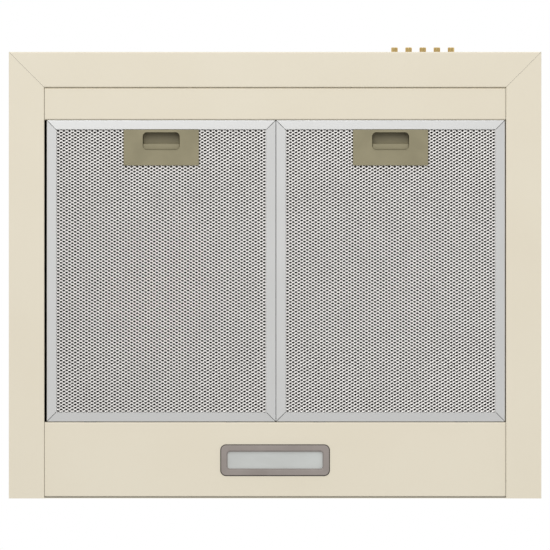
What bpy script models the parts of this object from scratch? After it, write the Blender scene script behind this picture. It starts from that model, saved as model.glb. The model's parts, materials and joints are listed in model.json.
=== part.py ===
"""Under cabinet range hood, 60 cm wide, with two hinged grease filters and a row of push buttons.

+X is the hood's right as seen from the room, +Y points at the wall, +Z is up. The origin is
the centre of the whole object's box, on the plane of the underside.
"""

import math

import bmesh
import bpy
from mathutils import Matrix, Vector

# Whole hood
WIDTH = 0.600
DEPTH = 0.503
HEIGHT = 0.150
FASCIA_HEIGHT = 0.060
TOP_DEPTH = 0.300
SHEET = 0.001
GAP = 0.0003
BEND = 0.002
BEND_STEPS = 3
TUCK_DEPTH = 0.014

# Underside
BAND = 0.040
LIP_HEIGHT = 0.012
RECESS = 0.002
STRIP_DEPTH = 0.0361
STRIP_GAP = 0.0004
LIGHT_PANEL_DEPTH = 0.086
RIM_HEIGHT = 0.018

# Push buttons
BUTTON_COUNT = 5
BUTTON_PITCH = 0.016
BUTTON_SIDE = 0.133
BUTTON_RADIUS = 0.00375
BUTTON_PROUD = 0.006
BUTTON_Z = 0.030
BUTTON_TRAVEL = 0.003
BUTTON_CLEARANCE = 0.0005
BUTTON_EDGE = 0.0006
STEM_RADIUS = 0.0025
STEM_LENGTH = 0.011
SWITCH_DEPTH = 0.031
SWITCH_HEIGHT = 0.0217
SWITCH_MARGIN = 0.008
SWITCH_TOP_RISE = 0.014
SWITCH_SCREW_INSET = 0.003
SWITCH_SCREW_REAR = 0.006
SWITCH_SCREW_LENGTH = 0.008
BRACKET_SIDE = 0.003
BRACKET_DROP = 0.012

# Grease filters
FILTER_LEFT_GAP = 0.0027
FILTER_RIGHT_GAP = 0.0009
FILTER_MIDDLE_GAP = 0.0004
FILTER_THICKNESS = 0.009
FILTER_FRONT_GAP = 0.0004
FILTER_REAR_GAP = 0.0005
RAIL_SIDE = 0.011
RAIL_END = 0.0104
MESH_THICKNESS = 0.0025
TAB_WIDTH = 0.014
TAB_REACH = 0.008
TAB_THICKNESS = 0.0012
TAB_RISE = 0.0015
TAB_SPREAD = 0.160
TAB_SIDE_PLAY = 0.002

# Filter latches
LATCH_WIDTH = 0.0847
LATCH_DEPTH = 0.0403
WINDOW_WIDTH = 0.0414
WINDOW_DEPTH = 0.0198
WINDOW_MARGIN = 0.003
WINDOW_CORNER = 0.003
LATCH_WALL = 0.0012
LATCH_TRAVEL = 0.006
LIP_DEPTH = 0.0063
NOSE_WIDTH = 0.0292
NOSE_THICKNESS = 0.0012

# Lamp
LAMP_INSET = 0.043
BEZEL_WIDTH = 0.1226
BEZEL_DEPTH = 0.0348
BEZEL_CORNER = 0.006
BEZEL_FLANGE = 0.0011
LENS_WINDOW_WIDTH = 0.107
LENS_WINDOW_DEPTH = 0.0189
LAMP_WALL = 0.0012
LENS_LEDGE = 0.0016
LENS_THICKNESS = 0.0025
LAMP_BODY_TOP = 0.013
BOARD_THICKNESS = 0.0016
LAMP_HOUSING_HEIGHT = 0.009

# Outlet, with its pair of non-return flaps
OUTLET_RADIUS = 0.060
OUTLET_WALL = 0.0017
OUTLET_INSET = 0.150
OUTLET_RISE = 0.030
FLANGE_WIDTH = 0.015
FLANGE_THICKNESS = 0.0015
PIN_RADIUS = 0.0015
PIN_RISE = 0.010
PIN_CLEARANCE = 0.0003
KNUCKLE_RADIUS = 0.0028
KNUCKLE_LENGTH = 0.010
FLAP_THICKNESS = 0.001
FLAP_CLEARANCE = 0.0013
FRONT_KNUCKLE_X = 0.039
REAR_KNUCKLE_X = 0.025
STOP_WIDTH = 0.010
STOP_REACH = 0.0043
STOP_HEIGHT = 0.0014

# Blower
BLOWER_WIDTH = 0.170
BLOWER_WALL = 0.0025
BLOWER_AXIS_DROP = 0.070
BLOWER_TOP_GAP = 0.0005
SCROLL_CLEARANCE = 0.007
SCROLL_GROWTH = 0.016
SCROLL_FROM = 40
SCROLL_TO = -180
SCROLL_STEPS = 24
BLOWER_OUTLET_STEP = 0.0085
DUCT_SCREW_MARGIN = 0.006
INLET_STEP = 0.006
IMPELLER_RADIUS = 0.046
BLADE_DEPTH = 0.010
BLADE_THICKNESS = 0.0012
BLADE_COUNT = 20
BLADE_LEAN = 35
IMPELLER_INNER_X = 0.031
IMPELLER_OUTER_X = 0.077
IMPELLER_DISC = 0.0015
HUB_RADIUS = 0.009
HUB_LENGTH = 0.014
MOTOR_RADIUS = 0.036
MOTOR_HALF_LENGTH = 0.027
MOTOR_SHOULDER = 0.006
MOTOR_NOSE = 0.014
MOTOR_DOME = 0.004
SHAFT_RADIUS = 0.004
BRACKET_HALF = 0.001
BRACKET_BAR_HALF = 0.006

# Fastenings and cabling
SCREW_RADIUS = 0.0018
SCREW_HEAD_RADIUS = 0.0034
SCREW_HEAD_HEIGHT = 0.002
SCREW_HOLE_CLEARANCE = 0.0003
SCREW_EDGE = 0.0006
CABINET_HOLE_RADIUS = 0.003
CABINET_HOLE_SIDE = 0.030
CABINET_HOLE_INSET = 0.025
COLLAR_SCREW_STEP = 0.009
LEAD_RADIUS = 0.0022
LEAD_STUB = 0.008
DRIVER_LEFT = 0.120
DRIVER_LENGTH = 0.070
DRIVER_DEPTH = 0.028
DRIVER_HEIGHT = 0.020
DRIVER_EDGE = 0.0015
CAPACITOR_X = -0.170
CAPACITOR_LENGTH = 0.058
CAPACITOR_RADIUS = 0.015
CAPACITOR_EDGE = 0.001
GLAND_SIDE = 0.068
GLAND_INSET = 0.0295
GLAND_NECK = 0.008
GLAND_FLANGE = 0.012
GLAND_BORE = 0.0035
GLAND_FLANGE_HEIGHT = 0.003
TERMINAL_WIDTH = 0.080
TERMINAL_DEPTH = 0.035
TERMINAL_HEIGHT = 0.040
TERMINAL_DROP = 0.055
TERMINAL_WALL = 0.002
TERMINAL_SHIFT = 0.002
POST_RADIUS = 0.005
POST_INSET = 0.006
POST_LENGTH = 0.032
LID_SCREW_LENGTH = 0.009

# Places worked out from the sizes
FRONT = BUTTON_PROUD - (DEPTH + BUTTON_PROUD) / 2
REAR = FRONT + DEPTH
HALF_WIDTH = WIDTH / 2
OPENING = HALF_WIDTH - BAND
BUTTON_MIDDLE_X = HALF_WIDTH - BUTTON_SIDE
CABINET_HOLE_X = HALF_WIDTH - CABINET_HOLE_SIDE
GLAND_X = HALF_WIDTH - GLAND_SIDE
BAY_FRONT = FRONT + BAND + STRIP_GAP + STRIP_DEPTH
BAY_REAR = REAR - LIGHT_PANEL_DEPTH
FILTER_FRONT = BAY_FRONT + FILTER_FRONT_GAP
FILTER_REAR = BAY_REAR - FILTER_REAR_GAP
FILTER_TOP = RECESS + FILTER_THICKNESS
FILTER_WIDTH = (2 * OPENING - FILTER_LEFT_GAP - FILTER_MIDDLE_GAP - FILTER_RIGHT_GAP) / 2
FILTER_SHIFT = (FILTER_LEFT_GAP - FILTER_RIGHT_GAP) / 2
SLOPE_FOOT = FRONT + SHEET + GAP
SLOPE_HEAD = REAR - TOP_DEPTH
OUTLET_Y = REAR - OUTLET_INSET
FLANGE_RADIUS = OUTLET_RADIUS + FLANGE_WIDTH
COLLAR_SCREW_RADIUS = OUTLET_RADIUS + COLLAR_SCREW_STEP
BLOWER_OUTLET_RADIUS = OUTLET_RADIUS - BLOWER_OUTLET_STEP
BLOWER_AXIS_Z = HEIGHT - BLOWER_AXIS_DROP
TERMINAL_BASE = HEIGHT - TERMINAL_DROP
SCROLL_START = IMPELLER_RADIUS + SCROLL_CLEARANCE
SCROLL_END = SCROLL_START + SCROLL_GROWTH
INLET_RADIUS = IMPELLER_RADIUS - INLET_STEP
FLANGE_TOP = HEIGHT - SHEET - GAP
BLOWER_TOP = FLANGE_TOP - FLANGE_THICKNESS - BLOWER_TOP_GAP
TONGUE_Y = SCROLL_START * math.cos(math.radians(SCROLL_FROM))
BLOWER_Y = OUTLET_Y + (SCROLL_END - TONGUE_Y) / 2
SCREW_OFFSET = COLLAR_SCREW_RADIUS * math.sqrt(0.5)
DUCT_HALF = max((SCROLL_END + TONGUE_Y) / 2, SCREW_OFFSET + DUCT_SCREW_MARGIN)
PIN_Z = HEIGHT + PIN_RISE
LAMP_Y = REAR - LAMP_INSET
CAPACITOR_Z = RECESS + SHEET + GAP + CAPACITOR_RADIUS
BUTTON_HALF_SPAN = (BUTTON_COUNT - 1) * BUTTON_PITCH / 2
BUTTON_XS = [BUTTON_MIDDLE_X - BUTTON_HALF_SPAN + BUTTON_PITCH * i for i in range(BUTTON_COUNT)]
OVERCUT = 0.001

YZ_PLANE = (math.radians(90), 0, math.radians(90))
AXIS_TURNS = {"X": (0, math.radians(90), 0), "Y": (math.radians(90), 0, 0), "Z": (0, 0, 0)}


def clear_scene():
    for obj in list(bpy.data.objects):
        bpy.data.objects.remove(obj)


def new_collection(name, hidden):
    collection = bpy.data.collections.new(name)
    collection.hide_render = hidden
    bpy.context.scene.collection.children.link(collection)
    return collection


clear_scene()
HOOD = new_collection("under_cabinet_range_hood", False)
CUTTERS = new_collection("cutters", True)


def finish(name, colour, roughness, metallic=0.0):
    material = bpy.data.materials.new(name)
    material.use_nodes = True
    shader = material.node_tree.nodes["Principled BSDF"]
    shader.inputs["Base Color"].default_value = (*colour, 1)
    shader.inputs["Roughness"].default_value = roughness
    shader.inputs["Metallic"].default_value = metallic
    return material


CREAM_PAINT = finish("cream_paint", (0.80, 0.73, 0.56), 0.35)
SATIN_ALUMINIUM = finish("satin_aluminium", (0.70, 0.70, 0.70), 0.35, 1.0)
MESH_ALUMINIUM = finish("mesh_aluminium", (0.62, 0.61, 0.60), 0.4, 1.0)
OLIVE_PLASTIC = finish("olive_plastic", (0.28, 0.25, 0.15), 0.55)
TAUPE_PLASTIC = finish("taupe_plastic", (0.28, 0.25, 0.23), 0.45)
FROSTED_LENS = finish("frosted_lens", (0.52, 0.54, 0.52), 0.5)
BRASS = finish("brass", (0.78, 0.57, 0.25), 0.25, 1.0)
BLACK_PLASTIC = finish("black_plastic", (0.02, 0.02, 0.02), 0.5)
GREY_PLASTIC = finish("grey_plastic", (0.30, 0.31, 0.32), 0.5)
ZINC_STEEL = finish("zinc_steel", (0.60, 0.61, 0.62), 0.35, 1.0)
BOARD_GREEN = finish("board_green", (0.05, 0.22, 0.10), 0.5)
CAPACITOR_WHITE = finish("capacitor_white", (0.75, 0.75, 0.72), 0.45)
LEAD_COVER = finish("lead_cover", (0.10, 0.10, 0.11), 0.5)


def add_object(name, mesh, material, location=(0, 0, 0), rotation=(0, 0, 0)):
    """Links a mesh as a part, or as a cutter when it has no material."""
    obj = bpy.data.objects.new(name, mesh)
    obj.location = location
    obj.rotation_euler = rotation
    if material:
        mesh.materials.append(material)
        HOOD.objects.link(obj)
    else:
        obj.hide_render = True
        obj.display_type = "WIRE"
        CUTTERS.objects.link(obj)
    return obj


def mesh_from(name, bm):
    mesh = bpy.data.meshes.new(name)
    bm.to_mesh(mesh)
    bm.free()
    return mesh


def block(name, low, high, material=None):
    """A box between two opposite corners."""
    low, high = Vector(low), Vector(high)
    bm = bmesh.new()
    bmesh.ops.create_cube(bm, size=1)
    bmesh.ops.scale(bm, vec=high - low, verts=bm.verts)
    return add_object(name, mesh_from(name, bm), material, (low + high) / 2)


def cylinder(name, centre, axis, radius, length, material=None, segments=32):
    bm = bmesh.new()
    bmesh.ops.create_cone(
        bm, cap_ends=True, segments=segments, radius1=radius, radius2=radius, depth=length
    )
    obj = add_object(name, mesh_from(name, bm), material, centre, AXIS_TURNS[axis])
    smooth(obj)
    return obj


def smooth(obj):
    obj.data.shade_smooth()
    obj.data.set_sharp_from_angle(angle=math.radians(35))


def turned(name, profile, material, location, rotation=(0, 0, 0), steps=48):
    """A closed (radius, height) profile turned about local Z; it runs down its outer side."""
    bm = bmesh.new()
    points = [bm.verts.new((radius, 0, height)) for radius, height in profile]
    for first, second in zip(points, points[1:] + points[:1]):
        bm.edges.new((first, second))
    obj = add_object(name, mesh_from(name, bm), material, location, rotation)
    screw = obj.modifiers.new("turn", "SCREW")
    screw.axis = "Z"
    screw.steps = steps
    screw.render_steps = steps
    screw.use_merge_vertices = True
    screw.merge_threshold = 0.00001
    screw.use_smooth_shade = False
    return obj


def rounded_rectangle(width, depth, corner, steps=6):
    """Points of a rectangle about the origin, with round corners."""
    points = []
    for quarter, (sx, sy) in enumerate(((1, 1), (-1, 1), (-1, -1), (1, -1))):
        centre_x, centre_y = sx * (width / 2 - corner), sy * (depth / 2 - corner)
        for step in range(steps + 1):
            angle = math.radians(90) * (quarter + step / steps)
            points.append((centre_x + corner * math.cos(angle), centre_y + corner * math.sin(angle)))
    return points


def rectangle(width, depth):
    corners = ((1, 1), (-1, 1), (-1, -1), (1, -1))
    return [(sx * width / 2, sy * depth / 2) for sx, sy in corners]


def flat_solid(name, outlines, thickness, material=None, location=(0, 0, 0), rotation=(0, 0, 0)):
    """A flat outline, with further outlines as its holes, given a thickness about its own plane."""
    curve = bpy.data.curves.new(name + "_outline", "CURVE")
    curve.dimensions = "2D"
    curve.fill_mode = "BOTH"
    curve.extrude = thickness / 2
    for outline in outlines:
        spline = curve.splines.new("POLY")
        spline.points.add(len(outline) - 1)
        for point, (x, y) in zip(spline.points, outline):
            point.co = (x, y, 0, 1)
        spline.use_cyclic_u = True
    guide = bpy.data.objects.new(name + "_guide", curve)
    HOOD.objects.link(guide)
    graph = bpy.context.evaluated_depsgraph_get()
    mesh = bpy.data.meshes.new_from_object(guide.evaluated_get(graph))
    bpy.data.objects.remove(guide)
    bm = bmesh.new()
    bm.from_mesh(mesh)
    bmesh.ops.remove_doubles(bm, verts=bm.verts, dist=0.000001)
    bmesh.ops.recalc_face_normals(bm, faces=bm.faces)
    bm.to_mesh(mesh)
    bm.free()
    mesh.materials.clear()
    return add_object(name, mesh, material, location, rotation)


def rounded_path(points, radius=BEND, steps=BEND_STEPS):
    """The path with each inner corner taken round an arc of the given radius."""
    points = [Vector(point) for point in points]
    path = [points[0]]
    for before, corner, after in zip(points, points[1:], points[2:]):
        back, ahead = (before - corner).normalized(), (after - corner).normalized()
        half = back.angle(ahead) / 2
        centre = corner + (back + ahead).normalized() * radius / math.sin(half)
        spoke = corner + back * radius / math.tan(half) - centre
        last = corner + ahead * radius / math.tan(half) - centre
        turn, hinge = spoke.angle(last), spoke.cross(last)
        path += [centre + Matrix.Rotation(turn * i / steps, 3, hinge) @ spoke for i in range(steps + 1)]
    return path + [points[-1]]


def bent_sheet(name, corners, sweep, material):
    """Folded sheet: a bent path of outer corners carried along a sweep, thickened inwards."""
    path, sweep = rounded_path(corners), Vector(sweep)
    bm = bmesh.new()
    near = [bm.verts.new(point) for point in path]
    edges = [bm.edges.new(pair) for pair in zip(near, near[1:])]
    swept = bmesh.ops.extrude_edge_only(bm, edges=edges)["geom"]
    moved = [item for item in swept if isinstance(item, bmesh.types.BMVert)]
    bmesh.ops.translate(bm, vec=sweep, verts=moved)
    outward = sweep.cross(path[1] - path[0])
    middle = (path[0] + path[1] + sweep) / 2
    bm.normal_update()
    first = min(bm.faces, key=lambda face: (face.calc_center_median() - middle).length)
    if first.normal.dot(outward) < 0:
        bmesh.ops.reverse_faces(bm, faces=bm.faces)
    obj = add_object(name, mesh_from(name, bm), material)
    wall = obj.modifiers.new("wall", "SOLIDIFY")
    wall.thickness = SHEET
    wall.offset = -1
    wall.use_even_offset = True
    return obj


def combine(obj, other, operation):
    step = obj.modifiers.new(operation.lower(), "BOOLEAN")
    step.operation = operation
    step.object = other
    step.solver = "EXACT"


def cut(obj, *cutters):
    for cutter in cutters:
        combine(obj, cutter, "DIFFERENCE")


def join(obj, *others):
    for other in others:
        combine(obj, other, "UNION")


def pivot(name, location):
    """An empty on a joint's axis, which the moving pieces hang from."""
    empty = bpy.data.objects.new(name, None)
    empty.empty_display_size = 0.02
    empty.location = location
    HOOD.objects.link(empty)
    return empty


def hang(empty, *pieces):
    """Parents pieces to a pivot without moving them."""
    for piece in pieces:
        piece.parent = empty
        piece.matrix_parent_inverse = Matrix.Translation(-empty.location)


def side_name(side):
    return "left" if side < 0 else "right"


def collar_screw_places():
    corners = ((-1, -1), (1, -1), (1, 1), (-1, 1))
    return [(sx * SCREW_OFFSET, OUTLET_Y + sy * SCREW_OFFSET) for sx, sy in corners]


def side_panel(side):
    """The hood's end wall, folded under into its share of the bottom band and up into a lip."""
    name = side_name(side) + "_side_panel"
    start, run = (FRONT, DEPTH) if side > 0 else (REAR, -DEPTH)
    corners = [
        (side * OPENING, start, LIP_HEIGHT),
        (side * OPENING, start, 0),
        (side * HALF_WIDTH, start, 0),
        (side * HALF_WIDTH, start, HEIGHT),
    ]
    panel = bent_sheet(name, corners, (0, run, 0), CREAM_PAINT)
    beyond = HEIGHT + OVERCUT
    above_slope = [
        (FRONT - OVERCUT, FASCIA_HEIGHT),
        (SLOPE_FOOT, FASCIA_HEIGHT),
        (SLOPE_HEAD, HEIGHT),
        (SLOPE_HEAD, beyond),
        (FRONT - OVERCUT, beyond),
    ]
    slope = flat_solid(
        name + "_slope_cut", [above_slope], 4 * SHEET, None, (side * HALF_WIDTH, 0, 0), YZ_PLANE
    )
    inner_x = HALF_WIDTH - SHEET - GAP / 2
    reach = BAND + 4 * SHEET
    mitre = [
        (side * inner_x, FRONT - OVERCUT),
        (side * (HALF_WIDTH - reach), FRONT - OVERCUT),
        (side * (HALF_WIDTH - reach), FRONT + reach + GAP / 2),
        (side * inner_x, FRONT + HALF_WIDTH - inner_x + GAP / 2),
    ]
    corner = flat_solid(name + "_mitre_cut", [mitre], 4 * LIP_HEIGHT, None)
    xs = sorted((side * (OPENING - SHEET), side * (OPENING + 2 * SHEET)))
    low = (xs[0], REAR - SHEET - GAP, RECESS)
    high = (xs[1], REAR + OVERCUT, LIP_HEIGHT + OVERCUT)
    cut(panel, slope, corner, block(name + "_lip_cut", low, high))
    return panel


def front_fascia():
    """The upright front with the button holes, folded under into the front of the bottom band."""
    reach = HALF_WIDTH - SHEET - GAP
    corners = [
        (-reach, FRONT + BAND, LIP_HEIGHT),
        (-reach, FRONT + BAND, 0),
        (-reach, FRONT, 0),
        (-reach, FRONT, FASCIA_HEIGHT - GAP),
    ]
    fascia = bent_sheet("front_fascia", corners, (2 * reach, 0, 0), CREAM_PAINT)
    for side in (-1, 1):
        span = BAND + 4 * SHEET
        mitre = [
            (side * (HALF_WIDTH - SHEET - GAP / 2), FRONT + SHEET),
            (side * (HALF_WIDTH - span - GAP / 2), FRONT + span),
            (side * (HALF_WIDTH + OVERCUT), FRONT + span),
            (side * (HALF_WIDTH + OVERCUT), FRONT + SHEET),
        ]
        cut(fascia, flat_solid("fascia_mitre_cut_" + side_name(side), [mitre], 4 * LIP_HEIGHT, None))
    for x in BUTTON_XS:
        hole = (x, FRONT, BUTTON_Z)
        radius = BUTTON_RADIUS + BUTTON_CLEARANCE
        cut(fascia, cylinder("fascia_hole", hole, "Y", radius, 6 * SHEET, None, 24))
    return fascia


def top_casing():
    """The sloped visor, flat top and rear wall, folded from one sheet, with its holes."""
    reach = HALF_WIDTH - SHEET - GAP
    tuck = FASCIA_HEIGHT - TUCK_DEPTH
    corners = [
        (-reach, SLOPE_FOOT, tuck),
        (-reach, SLOPE_FOOT, FASCIA_HEIGHT),
        (-reach, SLOPE_HEAD, HEIGHT),
        (-reach, REAR, HEIGHT),
        (-reach, REAR, RECESS + GAP),
    ]
    casing = bent_sheet("top_casing", corners, (2 * reach, 0, 0), CREAM_PAINT)
    through = 6 * SHEET
    cut(casing, cylinder("outlet_cut", (0, OUTLET_Y, HEIGHT), "Z", OUTLET_RADIUS + SHEET, through, None, 48))
    for sx in (-1, 1):
        for inset in (CABINET_HOLE_INSET, TOP_DEPTH - CABINET_HOLE_INSET):
            place = (sx * CABINET_HOLE_X, REAR - inset, HEIGHT)
            cut(casing, cylinder("cabinet_hole_cut", place, "Z", CABINET_HOLE_RADIUS, through, None, 16))
    for x, y in collar_screw_places():
        radius = SCREW_HEAD_RADIUS + GAP
        cut(casing, cylinder("collar_screw_cut", (x, y, HEIGHT), "Z", radius, through, None, 16))
    gland = (GLAND_X, REAR - GLAND_INSET, HEIGHT)
    cut(casing, cylinder("gland_cut", gland, "Z", GLAND_NECK + GAP, through, None, 24))
    return casing


def front_strip():
    """The fixed tray in front of the filters; its rear rim has the catch slots of the latches."""
    reach = OPENING - STRIP_GAP
    front = FRONT + BAND + STRIP_GAP
    corners = [
        (-reach, BAY_FRONT, RECESS + RIM_HEIGHT),
        (-reach, BAY_FRONT, RECESS),
        (-reach, front, RECESS),
        (-reach, front, RECESS + LIP_HEIGHT),
    ]
    strip = bent_sheet("front_strip", corners, (2 * reach, 0, 0), CREAM_PAINT)
    for side in (-1, 1):
        x = filter_x(side)
        low = (x - NOSE_WIDTH / 2 - 2 * GAP, BAY_FRONT - 2 * SHEET, FILTER_TOP - GAP)
        high = (x + NOSE_WIDTH / 2 + 2 * GAP, BAY_FRONT + SHEET, FILTER_TOP + 2 * NOSE_THICKNESS)
        cut(strip, block("catch_cut_" + side_name(side), low, high))
    return strip


def tab_places(side):
    return [filter_x(side) + end * TAB_SPREAD / 2 for end in (-1, 1)]


def light_panel():
    """The rear tray with the lamp's cut-out; its front rim has the slots that hold the filters' tabs."""
    reach = OPENING - STRIP_GAP
    rear = REAR - SHEET - 2 * GAP
    corners = [
        (-reach, rear, RECESS + RIM_HEIGHT),
        (-reach, rear, RECESS),
        (-reach, BAY_REAR, RECESS),
        (-reach, BAY_REAR, RECESS + RIM_HEIGHT),
    ]
    panel = bent_sheet("light_panel", corners, (2 * reach, 0, 0), CREAM_PAINT)
    width, depth = lamp_body_size()
    low = (-width / 2 - 2 * GAP, LAMP_Y - depth / 2 - 2 * GAP, RECESS - OVERCUT)
    high = (width / 2 + 2 * GAP, LAMP_Y + depth / 2 + 2 * GAP, RECESS + SHEET + OVERCUT)
    cut(panel, block("lamp_cut", low, high))
    slot_top = RECESS + TAB_REACH + TAB_RISE + TAB_THICKNESS
    for side in (-1, 1):
        for x in tab_places(side):
            low = (x - TAB_WIDTH / 2 - TAB_SIDE_PLAY, BAY_REAR - OVERCUT, RECESS + SHEET + GAP / 2)
            high = (x + TAB_WIDTH / 2 + TAB_SIDE_PLAY, BAY_REAR + 3 * SHEET, slot_top)
            cut(panel, block("tab_slot_cut", low, high))
    return panel


def filter_x(side):
    """Middle of a filter across the hood; the pair sits slightly right of centre in its bay."""
    return FILTER_SHIFT + side * (FILTER_WIDTH + FILTER_MIDDLE_GAP) / 2


def filter_frame(side):
    """The channel frame of a filter cassette, with two tabs at its rear edge."""
    name = "filter_frame_" + side_name(side)
    x, depth = filter_x(side), FILTER_REAR - FILTER_FRONT
    middle = (FILTER_FRONT + FILTER_REAR) / 2
    outer = rectangle(FILTER_WIDTH, depth)
    window = rectangle(FILTER_WIDTH - 2 * RAIL_SIDE, depth - 2 * RAIL_END)
    centre = (x, middle, RECESS + FILTER_THICKNESS / 2)
    frame = flat_solid(name, [outer, window], FILTER_THICKNESS, SATIN_ALUMINIUM, centre)
    half = FILTER_WIDTH / 2 - SHEET
    low = (x - half, FILTER_FRONT + SHEET, RECESS + SHEET)
    high = (x + half, FILTER_REAR - SHEET, FILTER_TOP - SHEET)
    cut(frame, block(name + "_groove_cut", low, high))
    for end, tab_x in enumerate(tab_places(side)):
        low = (tab_x - TAB_WIDTH / 2, FILTER_REAR - SHEET / 2, RECESS + TAB_RISE)
        high = (tab_x + TAB_WIDTH / 2, FILTER_REAR + TAB_REACH, RECESS + TAB_RISE + TAB_THICKNESS)
        join(frame, block(f"{name}_tab_{end}", low, high))
    return frame


def latch_box(side):
    """Inner corners of the latch's pocket box: the window's depth plus the slider's travel."""
    x = filter_x(side)
    front = FILTER_FRONT + RAIL_END + GAP + WINDOW_MARGIN - GAP
    half = WINDOW_WIDTH / 2 + 2 * GAP
    low = Vector((x - half, front, RECESS + SHEET))
    high = Vector((x + half, front + WINDOW_DEPTH + LATCH_TRAVEL + 3 * GAP, FILTER_TOP + 0.0022))
    return low, high


def filter_mesh(side):
    """The pack of expanded aluminium foil, held in the frame's channel and cut out round the latch."""
    name = "filter_mesh_" + side_name(side)
    x, inset, base = filter_x(side), SHEET + GAP, RECESS + SHEET + GAP
    low = (x - FILTER_WIDTH / 2 + inset, FILTER_FRONT + inset, base)
    high = (x + FILTER_WIDTH / 2 - inset, FILTER_REAR - inset, base + MESH_THICKNESS)
    mesh = block(name, low, high, MESH_ALUMINIUM)
    inner_low, inner_high = latch_box(side)
    margin = LATCH_WALL + 2 * GAP
    low = (inner_low.x - margin, inner_low.y - margin, base - OVERCUT)
    high = (inner_high.x + margin, inner_high.y + margin, base + MESH_THICKNESS + OVERCUT)
    cut(mesh, block(name + "_latch_cut", low, high))
    return mesh


def latch_housing(side):
    """The latch's face plate with the finger window, and the pocket box behind it."""
    name = "latch_housing_" + side_name(side)
    x, front = filter_x(side), FILTER_FRONT + RAIL_END + GAP
    window_y = WINDOW_MARGIN + WINDOW_DEPTH / 2 - LATCH_DEPTH / 2 - GAP
    window = rounded_rectangle(WINDOW_WIDTH, WINDOW_DEPTH, WINDOW_CORNER)
    window = [(px, py + window_y) for px, py in window]
    centre = (x, front + LATCH_DEPTH / 2, RECESS + SHEET / 2)
    plate = rounded_rectangle(LATCH_WIDTH, LATCH_DEPTH, 0.001, 2)
    housing = flat_solid(name, [plate, window], SHEET, OLIVE_PLASTIC, centre)
    low, high = latch_box(side)
    wall = Vector((LATCH_WALL, LATCH_WALL, 0))
    roof = Vector((0, 0, LATCH_WALL))
    sink = Vector((0, 0, SHEET / 2))
    outer = block(name + "_box", low - wall - sink, high + wall + roof)
    cut(outer, block(name + "_box_cut", low - 4 * sink, high))
    slot_low = (x - NOSE_WIDTH / 2 - GAP, low.y - 2 * LATCH_WALL, FILTER_TOP + GAP / 3)
    slot_high = (x + NOSE_WIDTH / 2 + GAP, low.y + OVERCUT, FILTER_TOP + NOSE_THICKNESS + 2 * GAP)
    cut(outer, block(name + "_slot_cut", slot_low, slot_high))
    join(housing, outer)
    return housing


def latch_slider(side):
    """The sliding latch: a finger lip, a carriage above the pocket and a nose over the front rail."""
    name = "latch_slider_" + side_name(side)
    x = filter_x(side)
    low, high = latch_box(side)
    rear = low.y + WINDOW_DEPTH - GAP
    half = WINDOW_WIDTH / 2 - GAP
    top = FILTER_TOP + GAP + NOSE_THICKNESS
    lip_low = (x - half, rear - LIP_DEPTH, RECESS + SHEET + 3 * GAP)
    slider = block(name, lip_low, (x + half, rear, top), OLIVE_PLASTIC)
    carriage = block(name + "_carriage", (x - half, low.y + GAP, FILTER_TOP), (x + half, rear - SHEET, top))
    nose_low = (x - NOSE_WIDTH / 2, FILTER_FRONT, FILTER_TOP + GAP)
    nose = block(name + "_nose", nose_low, (x + NOSE_WIDTH / 2, low.y + 2 * SHEET, top))
    join(slider, carriage, nose)
    return slider


def filters():
    for side in (-1, 1):
        hinge = pivot("filter_hinge_" + side_name(side), (filter_x(side), FILTER_REAR, RECESS))
        frame, mesh, housing = filter_frame(side), filter_mesh(side), latch_housing(side)
        hang(hinge, frame, mesh, housing, latch_slider(side))


def lamp_body_size():
    """Outer size of the lamp's body, which passes through the light panel."""
    extra = 2 * (LENS_LEDGE + LAMP_WALL)
    return LENS_WINDOW_WIDTH + extra, LENS_WINDOW_DEPTH + extra


def lamp_bezel():
    """The lamp's rim and body: a flange under the panel, a ledge for the lens and four snap wedges."""
    width, depth = lamp_body_size()
    flange_top = RECESS - GAP
    window = rounded_rectangle(LENS_WINDOW_WIDTH, LENS_WINDOW_DEPTH, 0.0025)
    flange = [rounded_rectangle(BEZEL_WIDTH, BEZEL_DEPTH, BEZEL_CORNER), window]
    centre = (0, LAMP_Y, flange_top - BEZEL_FLANGE / 2)
    bezel = flat_solid("lamp_bezel", flange, BEZEL_FLANGE, TAUPE_PLASTIC, centre)
    ledge_top = RECESS + 2 * SHEET - GAP
    sunk = flange_top - BEZEL_FLANGE / 2
    ledge = flat_solid(
        "lamp_ledge",
        [rectangle(width, depth), window],
        ledge_top - sunk,
        None,
        (0, LAMP_Y, (ledge_top + sunk) / 2),
    )
    wall_base = ledge_top - SHEET
    inner = rectangle(width - 2 * LAMP_WALL, depth - 2 * LAMP_WALL)
    wall = flat_solid(
        "lamp_wall",
        [rectangle(width, depth), inner],
        LAMP_BODY_TOP - wall_base,
        None,
        (0, LAMP_Y, (LAMP_BODY_TOP + wall_base) / 2),
    )
    join(bezel, ledge, wall)
    snap_base = RECESS + SHEET + GAP
    for sx in (-1, 1):
        for sy in (-1, 1):
            x, y = sx * width / 4, LAMP_Y + sy * (depth / 2 + SHEET / 4)
            low = (x - 0.004, y - 0.75 * SHEET, snap_base)
            high = (x + 0.004, y + 0.75 * SHEET, snap_base + 2 * SHEET)
            join(bezel, block("lamp_snap", low, high))
    return bezel


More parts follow.
